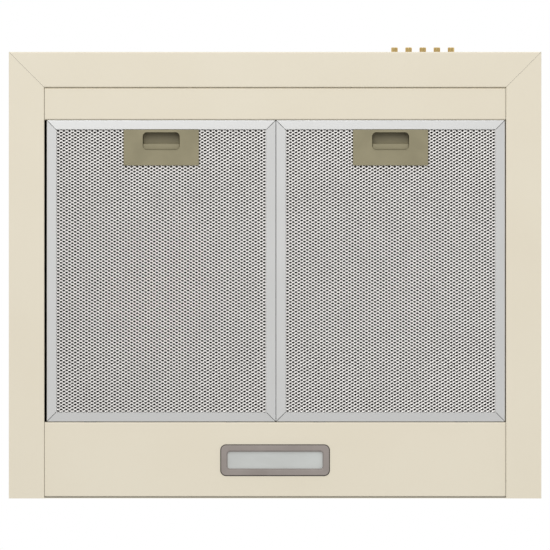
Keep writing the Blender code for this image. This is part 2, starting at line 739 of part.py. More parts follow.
def lamp_inside():
    """The frosted lens on its ledge, the board on the body's rim and the cover over the board."""
    width, depth = lamp_body_size()
    ledge_top = RECESS + 2 * SHEET - GAP
    inner_width, inner_depth = width - 2 * LAMP_WALL - 2 * GAP, depth - 2 * LAMP_WALL - 2 * GAP
    base = ledge_top + GAP
    low, high = (-inner_width / 2, LAMP_Y - inner_depth / 2), (inner_width / 2, LAMP_Y + inner_depth / 2)
    block("lamp_lens", (*low, base), (*high, base + LENS_THICKNESS), FROSTED_LENS)
    low, high = (-width / 2, LAMP_Y - depth / 2), (width / 2, LAMP_Y + depth / 2)
    base = LAMP_BODY_TOP + GAP
    top = base + BOARD_THICKNESS
    block("led_board", (*low, base), (*high, top), BOARD_GREEN)
    base = top + GAP
    top = base + LAMP_HOUSING_HEIGHT
    housing = block("lamp_housing", (*low, base), (*high, top), TAUPE_PLASTIC)
    low, high = (low[0] + LAMP_WALL, low[1] + LAMP_WALL), (high[0] - LAMP_WALL, high[1] - LAMP_WALL)
    cut(housing, block("lamp_housing_cut", (*low, base - OVERCUT), (*high, top - LAMP_WALL)))


def led_driver():
    base = RECESS + SHEET + GAP
    low = (DRIVER_LEFT, LAMP_Y - DRIVER_DEPTH / 2, base)
    high = (DRIVER_LEFT + DRIVER_LENGTH, LAMP_Y + DRIVER_DEPTH / 2, base + DRIVER_HEIGHT)
    driver = block("led_driver", low, high, GREY_PLASTIC)
    edge = driver.modifiers.new("edge", "BEVEL")
    edge.width = DRIVER_EDGE
    edge.segments = 2


def buttons():
    """Five turned push buttons, each a cap through the fascia with a thinner stem into the switch."""
    names = ("button_light", "button_off", "button_speed_1", "button_speed_2", "button_speed_3")
    length = BUTTON_PROUD + 3 * SHEET
    profile = [
        (0, length),
        (BUTTON_RADIUS - BUTTON_EDGE, length),
        (BUTTON_RADIUS, length - BUTTON_EDGE),
        (BUTTON_RADIUS, 0),
        (STEM_RADIUS, 0),
        (STEM_RADIUS, -STEM_LENGTH),
        (0, -STEM_LENGTH),
    ]
    for name, x in zip(names, BUTTON_XS):
        turned(name, profile, BRASS, (x, FRONT + 3 * SHEET, BUTTON_Z), (math.radians(90), 0, 0), 24)


def switch():
    """The switch block behind the buttons, hung from an angle bracket on the back of the fascia."""
    reach = BUTTON_HALF_SPAN + SWITCH_MARGIN
    left, right = BUTTON_MIDDLE_X - reach, BUTTON_MIDDLE_X + reach
    plate_front = SLOPE_FOOT
    shelf = BUTTON_Z + SWITCH_TOP_RISE
    edge_x = left - BRACKET_SIDE
    corners = [
        (edge_x, plate_front, BUTTON_Z - BRACKET_DROP),
        (edge_x, plate_front, shelf),
        (edge_x, plate_front + BEND + GAP + SWITCH_DEPTH, shelf),
    ]
    span = right - left + 2 * BRACKET_SIDE
    bracket = bent_sheet("switch_bracket", corners, (span, 0, 0), ZINC_STEEL)
    front = plate_front + BEND + GAP
    top = shelf - SHEET - GAP
    low, high = (left, front, top - SWITCH_HEIGHT), (right, front + SWITCH_DEPTH, top)
    body = block("switch_body", low, high, BLACK_PLASTIC)
    bore = BUTTON_RADIUS + BUTTON_CLEARANCE
    depth = STEM_LENGTH + BUTTON_TRAVEL + 4 * SHEET
    for x in BUTTON_XS:
        place = (x, plate_front, BUTTON_Z)
        cut(bracket, cylinder("bracket_hole", place, "Y", bore + GAP, 8 * SHEET, None, 12))
        centre = (x, front - OVERCUT + depth / 2, BUTTON_Z)
        cut(body, cylinder("switch_bore", centre, "Y", bore, depth + OVERCUT, None, 16))
    for end, x in enumerate((left + SWITCH_SCREW_INSET, right - SWITCH_SCREW_INSET)):
        y = front + SWITCH_DEPTH - SWITCH_SCREW_REAR
        hole = SCREW_RADIUS + SCREW_HOLE_CLEARANCE
        length = SWITCH_SCREW_LENGTH
        cut(bracket, cylinder("switch_screw_cut", (x, y, shelf), "Z", hole, 6 * SHEET, None, 16))
        cut(body, cylinder("switch_screw_bore", (x, y, top), "Z", hole, 2 * length, None, 16))
        pan_screw(f"switch_screw_{end + 1}", (x, y, shelf + GAP), (0, 0, 0), length)


def pan_screw(name, seat, rotation, length):
    """A pan head screw whose head stands on its seat, shank down local -Z."""
    profile = [
        (0, SCREW_HEAD_HEIGHT),
        (SCREW_HEAD_RADIUS - SCREW_EDGE, SCREW_HEAD_HEIGHT),
        (SCREW_HEAD_RADIUS, SCREW_HEAD_HEIGHT - SCREW_EDGE),
        (SCREW_HEAD_RADIUS, 0),
        (SCREW_RADIUS, 0),
        (SCREW_RADIUS, -length),
        (0, -length),
    ]
    return turned(name, profile, ZINC_STEEL, seat, rotation, 16)


def outlet_collar():
    """The round spigot on the top, flanged under the sheet, with stops and pin holes for the flaps."""
    inner = OUTLET_RADIUS - OUTLET_WALL
    base = FLANGE_TOP - FLANGE_THICKNESS
    profile = [
        (OUTLET_RADIUS, HEIGHT + OUTLET_RISE),
        (OUTLET_RADIUS, FLANGE_TOP),
        (FLANGE_RADIUS, FLANGE_TOP),
        (FLANGE_RADIUS, base),
        (inner, base),
        (inner, HEIGHT + OUTLET_RISE),
    ]
    collar = turned("outlet_collar", profile, GREY_PLASTIC, (0, OUTLET_Y, 0), (0, 0, 0), 48)
    stop_top = PIN_Z - FLAP_THICKNESS / 2 - 2 * GAP
    for sy in (-1, 1):
        ys = sorted((OUTLET_Y + sy * (inner - STOP_REACH), OUTLET_Y + sy * (inner + OUTLET_WALL / 3)))
        low = (-STOP_WIDTH / 2, ys[0], stop_top - STOP_HEIGHT)
        join(collar, block("flap_stop", low, (STOP_WIDTH / 2, ys[1], stop_top)))
    hole = (0, OUTLET_Y, PIN_Z)
    reach = 2 * OUTLET_RADIUS + 2 * OVERCUT
    cut(collar, cylinder("pin_hole", hole, "X", PIN_RADIUS + PIN_CLEARANCE, reach, None, 16))
    for x, y in collar_screw_places():
        radius = SCREW_RADIUS + SCREW_HOLE_CLEARANCE
        cut(collar, cylinder("flange_hole", (x, y, base), "Z", radius, 6 * SHEET, None, 16))
    length = 2 * OUTLET_RADIUS - 2 * GAP
    cylinder("damper_pin", hole, "X", PIN_RADIUS, length, ZINC_STEEL, 16)
    return collar


def flap_outline(radius):
    """A half disc beyond a straight edge that clears the other flap's knuckles."""
    edge = KNUCKLE_RADIUS + GAP
    start = math.asin(edge / radius)
    steps = 24
    angles = [start + (math.pi - 2 * start) * i / steps for i in range(steps + 1)]
    return [(radius * math.cos(angle), radius * math.sin(angle)) for angle in angles]


def damper_flap(side, knuckle_x):
    """Half of the non-return damper: a half disc with two knuckles on the shared pin."""
    name = "damper_flap_front" if side < 0 else "damper_flap_rear"
    radius = OUTLET_RADIUS - OUTLET_WALL - FLAP_CLEARANCE
    turn = 0 if side > 0 else math.pi
    axis_point = Vector((0, OUTLET_Y, PIN_Z))
    flap = flat_solid(name, [flap_outline(radius)], FLAP_THICKNESS, GREY_PLASTIC, axis_point, (0, 0, turn))
    for end in (-1, 1):
        centre = axis_point + Vector((end * knuckle_x, 0, 0))
        knuckle = cylinder(name + "_knuckle", centre, "X", KNUCKLE_RADIUS, KNUCKLE_LENGTH, None, 16)
        half = KNUCKLE_LENGTH / 2
        ys = sorted((side * PIN_RADIUS, side * (KNUCKLE_RADIUS + 3 * GAP)))
        low = centre + Vector((-half, ys[0], -FLAP_THICKNESS / 2))
        high = centre + Vector((half, ys[1], FLAP_THICKNESS / 2))
        join(flap, knuckle, block(name + "_web", low, high))
    bore = cylinder(name + "_bore", axis_point, "X", PIN_RADIUS + PIN_CLEARANCE, 2 * OUTLET_RADIUS, None, 16)
    cut(flap, bore)
    hang(pivot(name + "_hinge", axis_point), flap)


def scroll_outline(inset):
    """The blower's side outline about its axis: a spiral, then a duct as wide as the collar's screws."""
    top = BLOWER_TOP - BLOWER_AXIS_Z - inset
    points = []
    for step in range(SCROLL_STEPS + 1):
        share = step / SCROLL_STEPS
        radius = SCROLL_START + (SCROLL_END - SCROLL_START) * share - inset
        angle = math.radians(SCROLL_FROM + (SCROLL_TO - SCROLL_FROM) * share)
        points.append((radius * math.cos(angle), radius * math.sin(angle)))
    middle = OUTLET_Y - BLOWER_Y
    return points + [(middle - DUCT_HALF + inset, top), (middle + DUCT_HALF - inset, top)]


def outlet_bore(name):
    """Cutter for the round outlet through the blower's top wall."""
    return cylinder(name, (0, OUTLET_Y, BLOWER_TOP), "Z", BLOWER_OUTLET_RADIUS, 0.012, None, 40)


def blower_housing(side):
    """One moulded half of the blower's scroll case, with its inlet in the end wall."""
    name = "blower_housing_" + side_name(side)
    start, end = BRACKET_HALF + GAP, BLOWER_WIDTH / 2
    centre = (side * (start + end) / 2, BLOWER_Y, BLOWER_AXIS_Z)
    housing = flat_solid(name, [scroll_outline(0)], end - start, BLACK_PLASTIC, centre, YZ_PLANE)
    near, far = -OVERCUT, end - BLOWER_WALL
    centre = (side * (near + far) / 2, BLOWER_Y, BLOWER_AXIS_Z)
    hollow = flat_solid(name + "_hollow", [scroll_outline(BLOWER_WALL)], far - near, None, centre, YZ_PLANE)
    inlet_place = (side * end, BLOWER_Y, BLOWER_AXIS_Z)
    inlet = cylinder(name + "_inlet", inlet_place, "X", INLET_RADIUS, 6 * BLOWER_WALL, None, 32)
    cut(housing, hollow, inlet, outlet_bore(name + "_outlet"))
    for x, y in collar_screw_places():
        if x * side > 0:
            radius = SCREW_RADIUS + SCREW_HOLE_CLEARANCE
            place = (x, y, BLOWER_TOP)
            cut(housing, cylinder(name + "_screw_hole", place, "Z", radius, 4 * BLOWER_WALL, None, 16))
    return housing


def motor_bracket():
    """A plate clamped between the two halves of the case, with a cross that carries the motor."""
    centre = Vector((0, BLOWER_Y, BLOWER_AXIS_Z))
    ring = [scroll_outline(0), scroll_outline(BLOWER_WALL)]
    bracket = flat_solid("motor_bracket", ring, 2 * BRACKET_HALF, ZINC_STEEL, centre, YZ_PLANE)
    half = BRACKET_BAR_HALF
    bar = block(
        "bracket_bar",
        centre + Vector((-BRACKET_HALF, -SCROLL_END + BLOWER_WALL / 2, -half)),
        centre + Vector((BRACKET_HALF, SCROLL_START, half)),
    )
    foot = SCROLL_START + SCROLL_GROWTH / 2
    post = block(
        "bracket_post",
        centre + Vector((-BRACKET_HALF, -half, -foot)),
        centre + Vector((BRACKET_HALF, half, 0)),
    )
    join(bracket, bar, post)
    hole = cylinder("bracket_hole", centre, "X", MOTOR_RADIUS + 2 * GAP, 0.010, None, 32)
    cut(bracket, hole, outlet_bore("bracket_outlet"))
    return bracket


def motor():
    """The motor's can with domed ends, bored for the shaft."""
    bore = SHAFT_RADIUS + GAP
    rim = MOTOR_HALF_LENGTH - MOTOR_DOME
    side = rim - MOTOR_SHOULDER
    profile = [
        (bore, MOTOR_HALF_LENGTH),
        (MOTOR_NOSE, MOTOR_HALF_LENGTH),
        (MOTOR_RADIUS - MOTOR_SHOULDER, rim),
        (MOTOR_RADIUS, side),
        (MOTOR_RADIUS, -side),
        (MOTOR_RADIUS - MOTOR_SHOULDER, -rim),
        (MOTOR_NOSE, -MOTOR_HALF_LENGTH),
        (bore, -MOTOR_HALF_LENGTH),
    ]
    centre = Vector((0, BLOWER_Y, BLOWER_AXIS_Z))
    turned("motor_body", profile, ZINC_STEEL, centre, AXIS_TURNS["X"], 32)
    length = 2 * IMPELLER_OUTER_X
    return cylinder("motor_shaft", centre, "X", SHAFT_RADIUS, length, ZINC_STEEL, 16)


def blade_crown(name):
    """All the blades of one impeller, standing round local Z from the disc to the end ring."""
    bm = bmesh.new()
    height = IMPELLER_OUTER_X - IMPELLER_INNER_X - BLADE_THICKNESS
    for i in range(BLADE_COUNT):
        made = bmesh.ops.create_cube(bm, size=1)["verts"]
        bmesh.ops.scale(bm, vec=(BLADE_DEPTH - 0.001, BLADE_THICKNESS, height), verts=made)
        lean = Matrix.Rotation(math.radians(BLADE_LEAN), 4, "Z")
        out = Matrix.Translation((IMPELLER_RADIUS - BLADE_DEPTH / 2 - 0.0002, 0, 0))
        spin = Matrix.Rotation(2 * math.pi * i / BLADE_COUNT, 4, "Z")
        bmesh.ops.transform(bm, matrix=spin @ out @ lean, verts=made)
    return mesh_from(name, bm)


def impeller(side):
    """A forward-curved wheel: back disc and hub towards the motor, blades, and an end ring outside."""
    name = "impeller_" + side_name(side)
    middle = (IMPELLER_INNER_X + IMPELLER_OUTER_X) / 2
    half = (IMPELLER_OUTER_X - IMPELLER_INNER_X) / 2
    bore = SHAFT_RADIUS + GAP
    profile = [
        (bore, -half + HUB_LENGTH),
        (HUB_RADIUS, -half + HUB_LENGTH),
        (HUB_RADIUS, -half + IMPELLER_DISC),
        (IMPELLER_RADIUS, -half + IMPELLER_DISC),
        (IMPELLER_RADIUS, -half),
        (bore, -half),
    ]
    turn = AXIS_TURNS["X"] if side > 0 else (0, -AXIS_TURNS["X"][1], 0)
    centre = Vector((side * middle, BLOWER_Y, BLOWER_AXIS_Z))
    wheel = turned(name, profile, GREY_PLASTIC, centre, turn, 32)
    ring_profile = [
        (IMPELLER_RADIUS, half),
        (IMPELLER_RADIUS, half - IMPELLER_DISC),
        (IMPELLER_RADIUS - BLADE_DEPTH, half - IMPELLER_DISC),
        (IMPELLER_RADIUS - BLADE_DEPTH, half),
    ]
    ring = turned(name + "_ring", ring_profile, None, centre, turn, 32)
    blades = add_object(name + "_blades", blade_crown(name + "_blades"), None, centre, turn)
    join(wheel, blades, ring)
    return wheel


def collar_screws():
    """Flush screws that clamp the top sheet, the collar's flange and the blower's top wall."""
    head = SHEET - 2 * GAP / 3
    top = HEIGHT - GAP / 3
    bottom = BLOWER_TOP - BLOWER_WALL + GAP
    for i, (x, y) in enumerate(collar_screw_places()):
        profile = [
            (0, top),
            (SCREW_HEAD_RADIUS, top),
            (SCREW_HEAD_RADIUS, top - head / 2),
            (SCREW_RADIUS, top - head),
            (SCREW_RADIUS, bottom),
            (0, bottom),
        ]
        turned(f"collar_screw_{i + 1}", profile, ZINC_STEEL, (x, y, 0), (0, 0, 0), 16)


def terminal_box():
    """The wiring box on the rear wall, its lid and two lid screws."""
    left = GLAND_X - TERMINAL_WIDTH / 2 - TERMINAL_SHIFT
    rear = REAR - SHEET - GAP
    front = rear - TERMINAL_DEPTH
    low = Vector((left, front, TERMINAL_BASE))
    high = Vector((left + TERMINAL_WIDTH, rear, TERMINAL_BASE + TERMINAL_HEIGHT))
    box = block("terminal_box", low, high, GREY_PLASTIC)
    wall = Vector((TERMINAL_WALL, TERMINAL_WALL, TERMINAL_WALL))
    inner_low = low + wall - Vector((0, 2 * TERMINAL_WALL, 0))
    hollow = block("terminal_hollow", inner_low, high - wall)
    cut(box, hollow)
    lid_rear = front - GAP
    lid_low = (low.x, lid_rear - TERMINAL_WALL, low.z)
    lid = block("terminal_lid", lid_low, (high.x, lid_rear, high.z), GREY_PLASTIC)
    screw_z = high.z - POST_INSET
    for end, x in enumerate((low.x + POST_INSET, high.x - POST_INSET)):
        place = (x, lid_rear, screw_z)
        middle = (x, front + POST_LENGTH / 2, screw_z)
        join(box, cylinder("terminal_post", middle, "Y", POST_RADIUS, POST_LENGTH, None, 16))
        hole = SCREW_RADIUS + SCREW_HOLE_CLEARANCE
        cut(lid, cylinder("lid_screw_cut", place, "Y", hole, 6 * TERMINAL_WALL, None, 16))
        cut(box, cylinder("post_screw_cut", place, "Y", hole, 2 * LID_SCREW_LENGTH + SHEET * 2, None, 16))
        seat = (x, lid_rear - TERMINAL_WALL - GAP, screw_z)
        pan_screw(f"lid_screw_{end + 1}", seat, (math.radians(90), 0, 0), LID_SCREW_LENGTH)
    return lid_low[1]


def cable_gland():
    """The supply cable's inlet: a flanged bush that fills its hole in the top sheet."""
    base = TERMINAL_BASE + TERMINAL_HEIGHT + 2 * GAP
    profile = [
        (GLAND_NECK, HEIGHT - GAP / 3),
        (GLAND_NECK, FLANGE_TOP),
        (GLAND_FLANGE, FLANGE_TOP),
        (GLAND_FLANGE, FLANGE_TOP - GLAND_FLANGE_HEIGHT),
        (GLAND_NECK, FLANGE_TOP - GLAND_FLANGE_HEIGHT),
        (GLAND_NECK, base),
        (GLAND_BORE, base),
        (GLAND_BORE, HEIGHT - GAP / 3),
    ]
    turned("cable_gland", profile, BLACK_PLASTIC, (GLAND_X, REAR - GLAND_INSET, 0), (0, 0, 0), 24)


def capacitor():
    centre = (CAPACITOR_X, LAMP_Y, CAPACITOR_Z)
    can = cylinder("capacitor", centre, "X", CAPACITOR_RADIUS, CAPACITOR_LENGTH, CAPACITOR_WHITE, 24)
    edge = can.modifiers.new("edge", "BEVEL")
    edge.width = CAPACITOR_EDGE
    edge.segments = 2
    edge.limit_method = "ANGLE"
    edge.angle_limit = math.radians(60)


def smooth_route(knots, start_way, end_way, pieces):
    """Points of a Catmull-Rom curve through the knots, leaving each end along its given way."""
    pull = 4 * LEAD_STUB
    ends = [knots[1] - pull * start_way, *knots, knots[-2] - pull * end_way]
    points = []
    for p0, p1, p2, p3 in zip(ends, ends[1:], ends[2:], ends[3:]):
        for i in range(pieces):
            t = i / pieces
            square = 2 * p0 - 5 * p1 + 4 * p2 - p3
            cube = 3 * p1 - 3 * p2 + p3 - p0
            points.append((2 * p1 + (p2 - p0) * t + square * t**2 + cube * t**3) / 2)
    return points + [knots[-1]]


def lead(name, start, start_way, knots, end, end_way):
    """A sheathed lead held at both ends, which leaves each wall squarely, the given way."""
    start, end = Vector(start), Vector(end)
    start_way, end_way = Vector(start_way), Vector(end_way)
    inner = [Vector(knot) for knot in knots]
    route = [start + start_way * LEAD_STUB, *inner, end + end_way * LEAD_STUB]
    points = smooth_route(route, start_way, end_way, 4)
    points = [start + start_way * GAP, *points, end + end_way * GAP]
    curve = bpy.data.curves.new(name, "CURVE")
    curve.dimensions = "3D"
    curve.bevel_depth = LEAD_RADIUS
    curve.bevel_resolution = 2
    curve.use_fill_caps = True
    spline = curve.splines.new("POLY")
    spline.points.add(len(points) - 1)
    for point, place in zip(spline.points, points):
        point.co = (*place, 1)
    curve.materials.append(LEAD_COVER)
    obj = bpy.data.objects.new(name, curve)
    HOOD.objects.link(obj)


def leads(lid_y):
    """The sheathed leads inside the casing, each from one unit's wall to the next."""
    switch_rear = SLOPE_FOOT + BEND + GAP + SWITCH_DEPTH
    right = GLAND_X + 0.016
    halfway = (switch_rear + lid_y) / 2
    lead(
        "switch_lead",
        (BUTTON_MIDDLE_X + 0.013, switch_rear, BUTTON_Z + 0.002),
        (0, 1, 0),
        [
            (BUTTON_MIDDLE_X + 0.048, switch_rear + 0.030, BUTTON_Z + 0.012),
            (right - 0.004, switch_rear + 0.095, BUTTON_Z + 0.016),
            (right, halfway, BUTTON_Z + 0.030),
            (right, lid_y - 0.096, TERMINAL_BASE - 0.010),
            (right, lid_y - 0.030, TERMINAL_BASE + 0.008),
        ],
        (right, lid_y, TERMINAL_BASE + 0.010),
        (0, -1, 0),
    )
    lamp_end = lamp_body_size()[0] / 2
    lead(
        "lamp_lead",
        (lamp_end, LAMP_Y, LAMP_BODY_TOP + 0.0065),
        (1, 0, 0),
        [((lamp_end + DRIVER_LEFT) / 2, LAMP_Y, LAMP_BODY_TOP + 0.008)],
        (DRIVER_LEFT, LAMP_Y, LAMP_BODY_TOP),
        (-1, 0, 0),
    )
    lead(
        "driver_lead",
        (DRIVER_LEFT + DRIVER_LENGTH, LAMP_Y, LAMP_BODY_TOP),
        (1, 0, 0),
        [
            (DRIVER_LEFT + DRIVER_LENGTH + 0.022, LAMP_Y - 0.010, 0.045),
            (GLAND_X - 0.010, LAMP_Y - 0.018, TERMINAL_BASE - 0.015),
        ],
        (GLAND_X - 0.010, lid_y, TERMINAL_BASE + 0.010),
        (0, -1, 0),
    )
    side = BLOWER_WIDTH / 2
    start_y, start_z = BLOWER_Y + 0.032, BLOWER_TOP - 0.015
    lead(
        "motor_lead",
        (side, start_y, start_z),
        (1, 0, 0),
        [
            (side + 0.045, start_y + 0.010, start_z - 0.001),
            (GLAND_X - 0.052, start_y + 0.034, start_z - 0.010),
        ],
        (GLAND_X - 0.025, lid_y, start_z - 0.018),
        (0, -1, 0),
    )
    can_end = CAPACITOR_X + CAPACITOR_LENGTH / 2
    lead(
        "capacitor_lead",
        (can_end, LAMP_Y, CAPACITOR_Z),
        (1, 0, 0),
        [
            (can_end + 0.018, LAMP_Y - 0.010, CAPACITOR_Z + 0.018),
            (-side - 0.042, start_y + 0.020, start_z - 0.050),
            (-side - 0.026, start_y + 0.002, start_z - 0.008),
        ],
        (-side, start_y, start_z),
        (-1, 0, 0),
    )


for panel_side in (-1, 1):
    side_panel(panel_side)
front_fascia()
top_casing()
front_strip()
light_panel()
filters()
lamp_bezel()
lamp_inside()
led_driver()
buttons()
switch()
outlet_collar()
damper_flap(1, REAR_KNUCKLE_X)
damper_flap(-1, FRONT_KNUCKLE_X)
for housing_side in (-1, 1):
    blower_housing(housing_side)
    impeller(housing_side)
motor_bracket()
motor()
collar_screws()
lid_front_y = terminal_box()
cable_gland()
capacitor()
leads(lid_front_y)
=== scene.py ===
import json
import math

import bmesh
import bpy
import numpy as np
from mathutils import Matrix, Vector


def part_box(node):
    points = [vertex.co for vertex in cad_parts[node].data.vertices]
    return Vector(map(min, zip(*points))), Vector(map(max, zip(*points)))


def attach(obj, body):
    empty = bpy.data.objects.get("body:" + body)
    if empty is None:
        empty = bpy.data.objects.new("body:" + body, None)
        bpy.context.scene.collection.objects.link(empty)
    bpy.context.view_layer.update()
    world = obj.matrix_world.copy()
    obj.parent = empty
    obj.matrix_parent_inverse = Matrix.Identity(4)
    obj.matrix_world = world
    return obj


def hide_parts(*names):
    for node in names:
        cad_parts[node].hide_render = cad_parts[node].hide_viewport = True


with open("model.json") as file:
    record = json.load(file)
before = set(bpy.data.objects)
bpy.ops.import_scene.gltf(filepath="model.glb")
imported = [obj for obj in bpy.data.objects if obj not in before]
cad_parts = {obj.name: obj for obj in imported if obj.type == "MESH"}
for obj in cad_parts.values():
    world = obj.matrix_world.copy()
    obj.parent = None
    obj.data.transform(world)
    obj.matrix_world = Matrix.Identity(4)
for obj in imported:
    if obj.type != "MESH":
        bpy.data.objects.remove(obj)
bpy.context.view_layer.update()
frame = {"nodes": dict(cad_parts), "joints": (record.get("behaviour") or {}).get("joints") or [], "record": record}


# Studio: the hood hangs high above a plain pale floor and is seen straight from below, front edge up.
# A white sky lights it evenly. Soft panels low in front, low at the right and above give it form.

VIEW_WIDTH = 0.6194
VIEW_LENS = 400
SENSOR = 36
VIEW_MIDDLE = (-0.0001, 0.00283)

camera_data = bpy.data.cameras.new("camera")
camera_data.lens = VIEW_LENS
camera_data.sensor_width = SENSOR
camera_data.clip_start = 0.05
camera_data.clip_end = 120
camera = bpy.data.objects.new("camera", camera_data)
camera.location = (*VIEW_MIDDLE, -VIEW_WIDTH * VIEW_LENS / SENSOR)
camera.rotation_euler = (math.pi, 0, 0)
bpy.context.scene.collection.objects.link(camera)
bpy.context.scene.camera = camera
bpy.context.scene.view_settings.view_transform = "Standard"

sky = bpy.data.worlds.new("sky")
sky.use_nodes = True
sky.node_tree.nodes["Background"].inputs["Color"].default_value = (1, 1, 1, 1)
sky.node_tree.nodes["Background"].inputs["Strength"].default_value = 1.0
bpy.context.scene.world = sky


def soft_panel(name, place, aim, size, power):
    """A square area lamp at a place, turned to face the aim."""
    data = bpy.data.lights.new(name, "AREA")
    data.shape = "SQUARE"
    data.size = size
    data.energy = power
    panel = bpy.data.objects.new(name, data)
    panel.location = place
    panel.rotation_euler = (Vector(aim) - Vector(place)).to_track_quat("-Z", "Y").to_euler()
    panel.visible_camera = False
    bpy.context.scene.collection.objects.link(panel)


soft_panel("panel_front", place=(-0.5, -2.0, -2.6), aim=(0, 0, 0), size=2.2, power=38)
soft_panel("panel_right", place=(2.6, 1.0, -1.8), aim=(0, 0, 0), size=1.6, power=9)
soft_panel("panel_above", place=(0.9, -1.6, 1.9), aim=(0, 0, 0.1), size=1.4, power=5)

MIX_FACTOR, MIX_FIRST, MIX_SECOND, MIX_COLOUR = 0, 6, 7, 2


class Value:
    """A number that varies over a surface: a shader socket with Python's arithmetic."""

    def __init__(self, finish, socket):
        self.finish = finish
        self.socket = socket

    def maths(self, operation, *operands):
        node = self.finish.add("ShaderNodeMath", {"operation": operation}, dict(enumerate(operands)))
        return Value(self.finish, node.outputs[0])

    def __add__(self, other):
        return self.maths("ADD", self, other)

    def __sub__(self, other):
        return self.maths("SUBTRACT", self, other)

    def __rsub__(self, other):
        return self.maths("SUBTRACT", other, self)

    def __mul__(self, other):
        return self.maths("MULTIPLY", self, other)

    __radd__ = __add__
    __rmul__ = __mul__

    def between(self, low, high):
        """0 below low, 1 above high, smooth between."""
        settings = {"interpolation_type": "SMOOTHSTEP"}
        sockets = {"Value": self, "From Min": low, "From Max": high}
        return Value(self.finish, self.finish.add("ShaderNodeMapRange", settings, sockets).outputs[0])


class Finish:
    """One Principled material, with every other node added through add()."""

    def __init__(self, name, colour, roughness, metallic=0.0, **constants):
        self.material = bpy.data.materials.new(name)
        self.material.use_nodes = True
        self.tree = self.material.node_tree
        self.shader = self.tree.nodes["Principled BSDF"]
        self.colour = colour
        self.set(**{"Base Color": (*colour, 1), "Roughness": roughness, "Metallic": metallic})
        self.set(**constants)
        self.place = self.add("ShaderNodeTexCoord").outputs["Object"]

    def add(self, kind, settings=None, sockets=None):
        """Makes a node, applies its settings, then fills or links its sockets."""
        node = self.tree.nodes.new(kind)
        for key, value in (settings or {}).items():
            setattr(node, key, value)
        for key, value in (sockets or {}).items():
            source = value.socket if isinstance(value, Value) else value
            if isinstance(source, bpy.types.NodeSocket):
                self.tree.links.new(source, node.inputs[key])
            else:
                node.inputs[key].default_value = source
        return node

    def set(self, **sockets):
        for key, value in sockets.items():
            if isinstance(value, Value):
                self.tree.links.new(value.socket, self.shader.inputs[key])
            else:
                self.shader.inputs[key].default_value = value

    def noise(self, scale, stretch=(1, 1, 1), detail=2.0):
        """Cloudy values about 0.5; scale is in features a metre, stretch multiplies it by axis."""
        mapped = self.add("ShaderNodeMapping", None, {"Vector": self.place, "Scale": stretch})
        sockets = {"Vector": mapped.outputs[0], "Scale": scale, "Detail": detail}
        return Value(self, self.add("ShaderNodeTexNoise", None, sockets).outputs["Fac"])

    def along(self, axis):
        """The object's own coordinate along X, Y or Z, in metres."""
        return Value(self, self.add("ShaderNodeSeparateXYZ", None, {"Vector": self.place}).outputs[axis])

    def cells(self, scale):
        """Random grey for each crystal of a Voronoi pattern, scale crystals a metre."""
        made = self.add("ShaderNodeTexVoronoi", None, {"Vector": self.place, "Scale": scale})
        parted = self.add("ShaderNodeSeparateColor", None, {"Color": made.outputs["Color"]})
        return Value(self, parted.outputs["Red"])

    def tint(self, amount, other):
        """Base colour that goes from the finish's own colour to another by a varying amount."""
        sockets = {MIX_FACTOR: amount, MIX_FIRST: (*self.colour, 1), MIX_SECOND: (*other, 1)}
        mixed = self.add("ShaderNodeMix", {"data_type": "RGBA"}, sockets)
        self.tree.links.new(mixed.outputs[MIX_COLOUR], self.shader.inputs["Base Color"])

    def bump(self, height, depth):
        """Relief from a varying height; depth is in metres for a height of 1."""
        bumped = self.add("ShaderNodeBump", None, {"Height": height, "Distance": depth, "Strength": 1.0})
        self.tree.links.new(bumped.outputs[0], self.shader.inputs["Normal"])


# Casing: sides, front, sloping top, front strip and rear light panel are folded from 1 mm steel sheet.
# They are powder coated cream, satin with a faint orange peel. Inside, above the height of the folded
# lips, the top and the sides are coloured near black as painted shade for the closed casing.

CREAM = (0.800, 0.736, 0.600)
CREAM_WARM = (0.752, 0.676, 0.532)
INTERIOR_SHADE = (0.040, 0.039, 0.037)
INTERIOR_SHADE_PALE = (0.075, 0.072, 0.066)
CASING_MIDDLE = (0.0, 0.02, 0.075)
LIP_TOP = 0.022
LINED_PANELS = ("top_casing", "left_side_panel", "right_side_panel")
PLAIN_PANELS = ("front_fascia", "front_strip", "light_panel")
SHELL_WELD = 0.000002
SHELL_FLAT = 0.3

cream = Finish("cream_powder_coat", CREAM, 0.42, 0.0, **{"Coat Weight": 0.08, "Coat Roughness": 0.3})
cream.tint((cream.noise(6, detail=3) - 0.35) * 1.1, CREAM_WARM)
cream.set(Roughness=cream.noise(60, detail=4) * 0.14 + 0.36)
cream.bump(cream.noise(1100, detail=1) + cream.noise(320, detail=1) * 0.8, 0.00003)

# The inside colour is painted shade: near black with paler random patches, for the dark casing seen through the
# filters and gaps.
interior_shade = Finish("grey_primer", INTERIOR_SHADE, 0.75)
interior_shade.tint(interior_shade.noise(25, detail=5).between(0.35, 0.75), INTERIOR_SHADE_PALE)
interior_shade.set(Roughness=interior_shade.noise(200, detail=3) * 0.3 + 0.6)
interior_shade.bump(interior_shade.noise(900, detail=2), 0.00004)


def dress(piece, finish, smooth_angle=40):
    """Gives a mesh its material and shades it smooth except at sharp edges."""
    piece.data.materials.append(finish.material)
    piece.data.shade_smooth()
    piece.data.set_sharp_from_angle(angle=math.radians(smooth_angle))


def round_edges(piece, width, segments=2, angle=50):
    """Takes the sharp edges of a piece round with a small radius."""
    rounding = piece.modifiers.new("rounded_edges", "BEVEL")
    rounding.width = width
    rounding.segments = segments
    rounding.limit_method = "ANGLE"
    rounding.angle_limit = math.radians(angle)


def even_shading(piece):
    """Shades large faces flat and leaves the blend to the small ones beside them."""
    piece.modifiers.new("even_shading", "WEIGHTED_NORMAL").keep_sharp = True


def fit(piece, body, slot, *nodes):
    """Says which body a piece moves with, and the CAD nodes it stands for; the finish slot is not used."""
    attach(piece, body)
    if nodes:
        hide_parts(*nodes)
    return piece


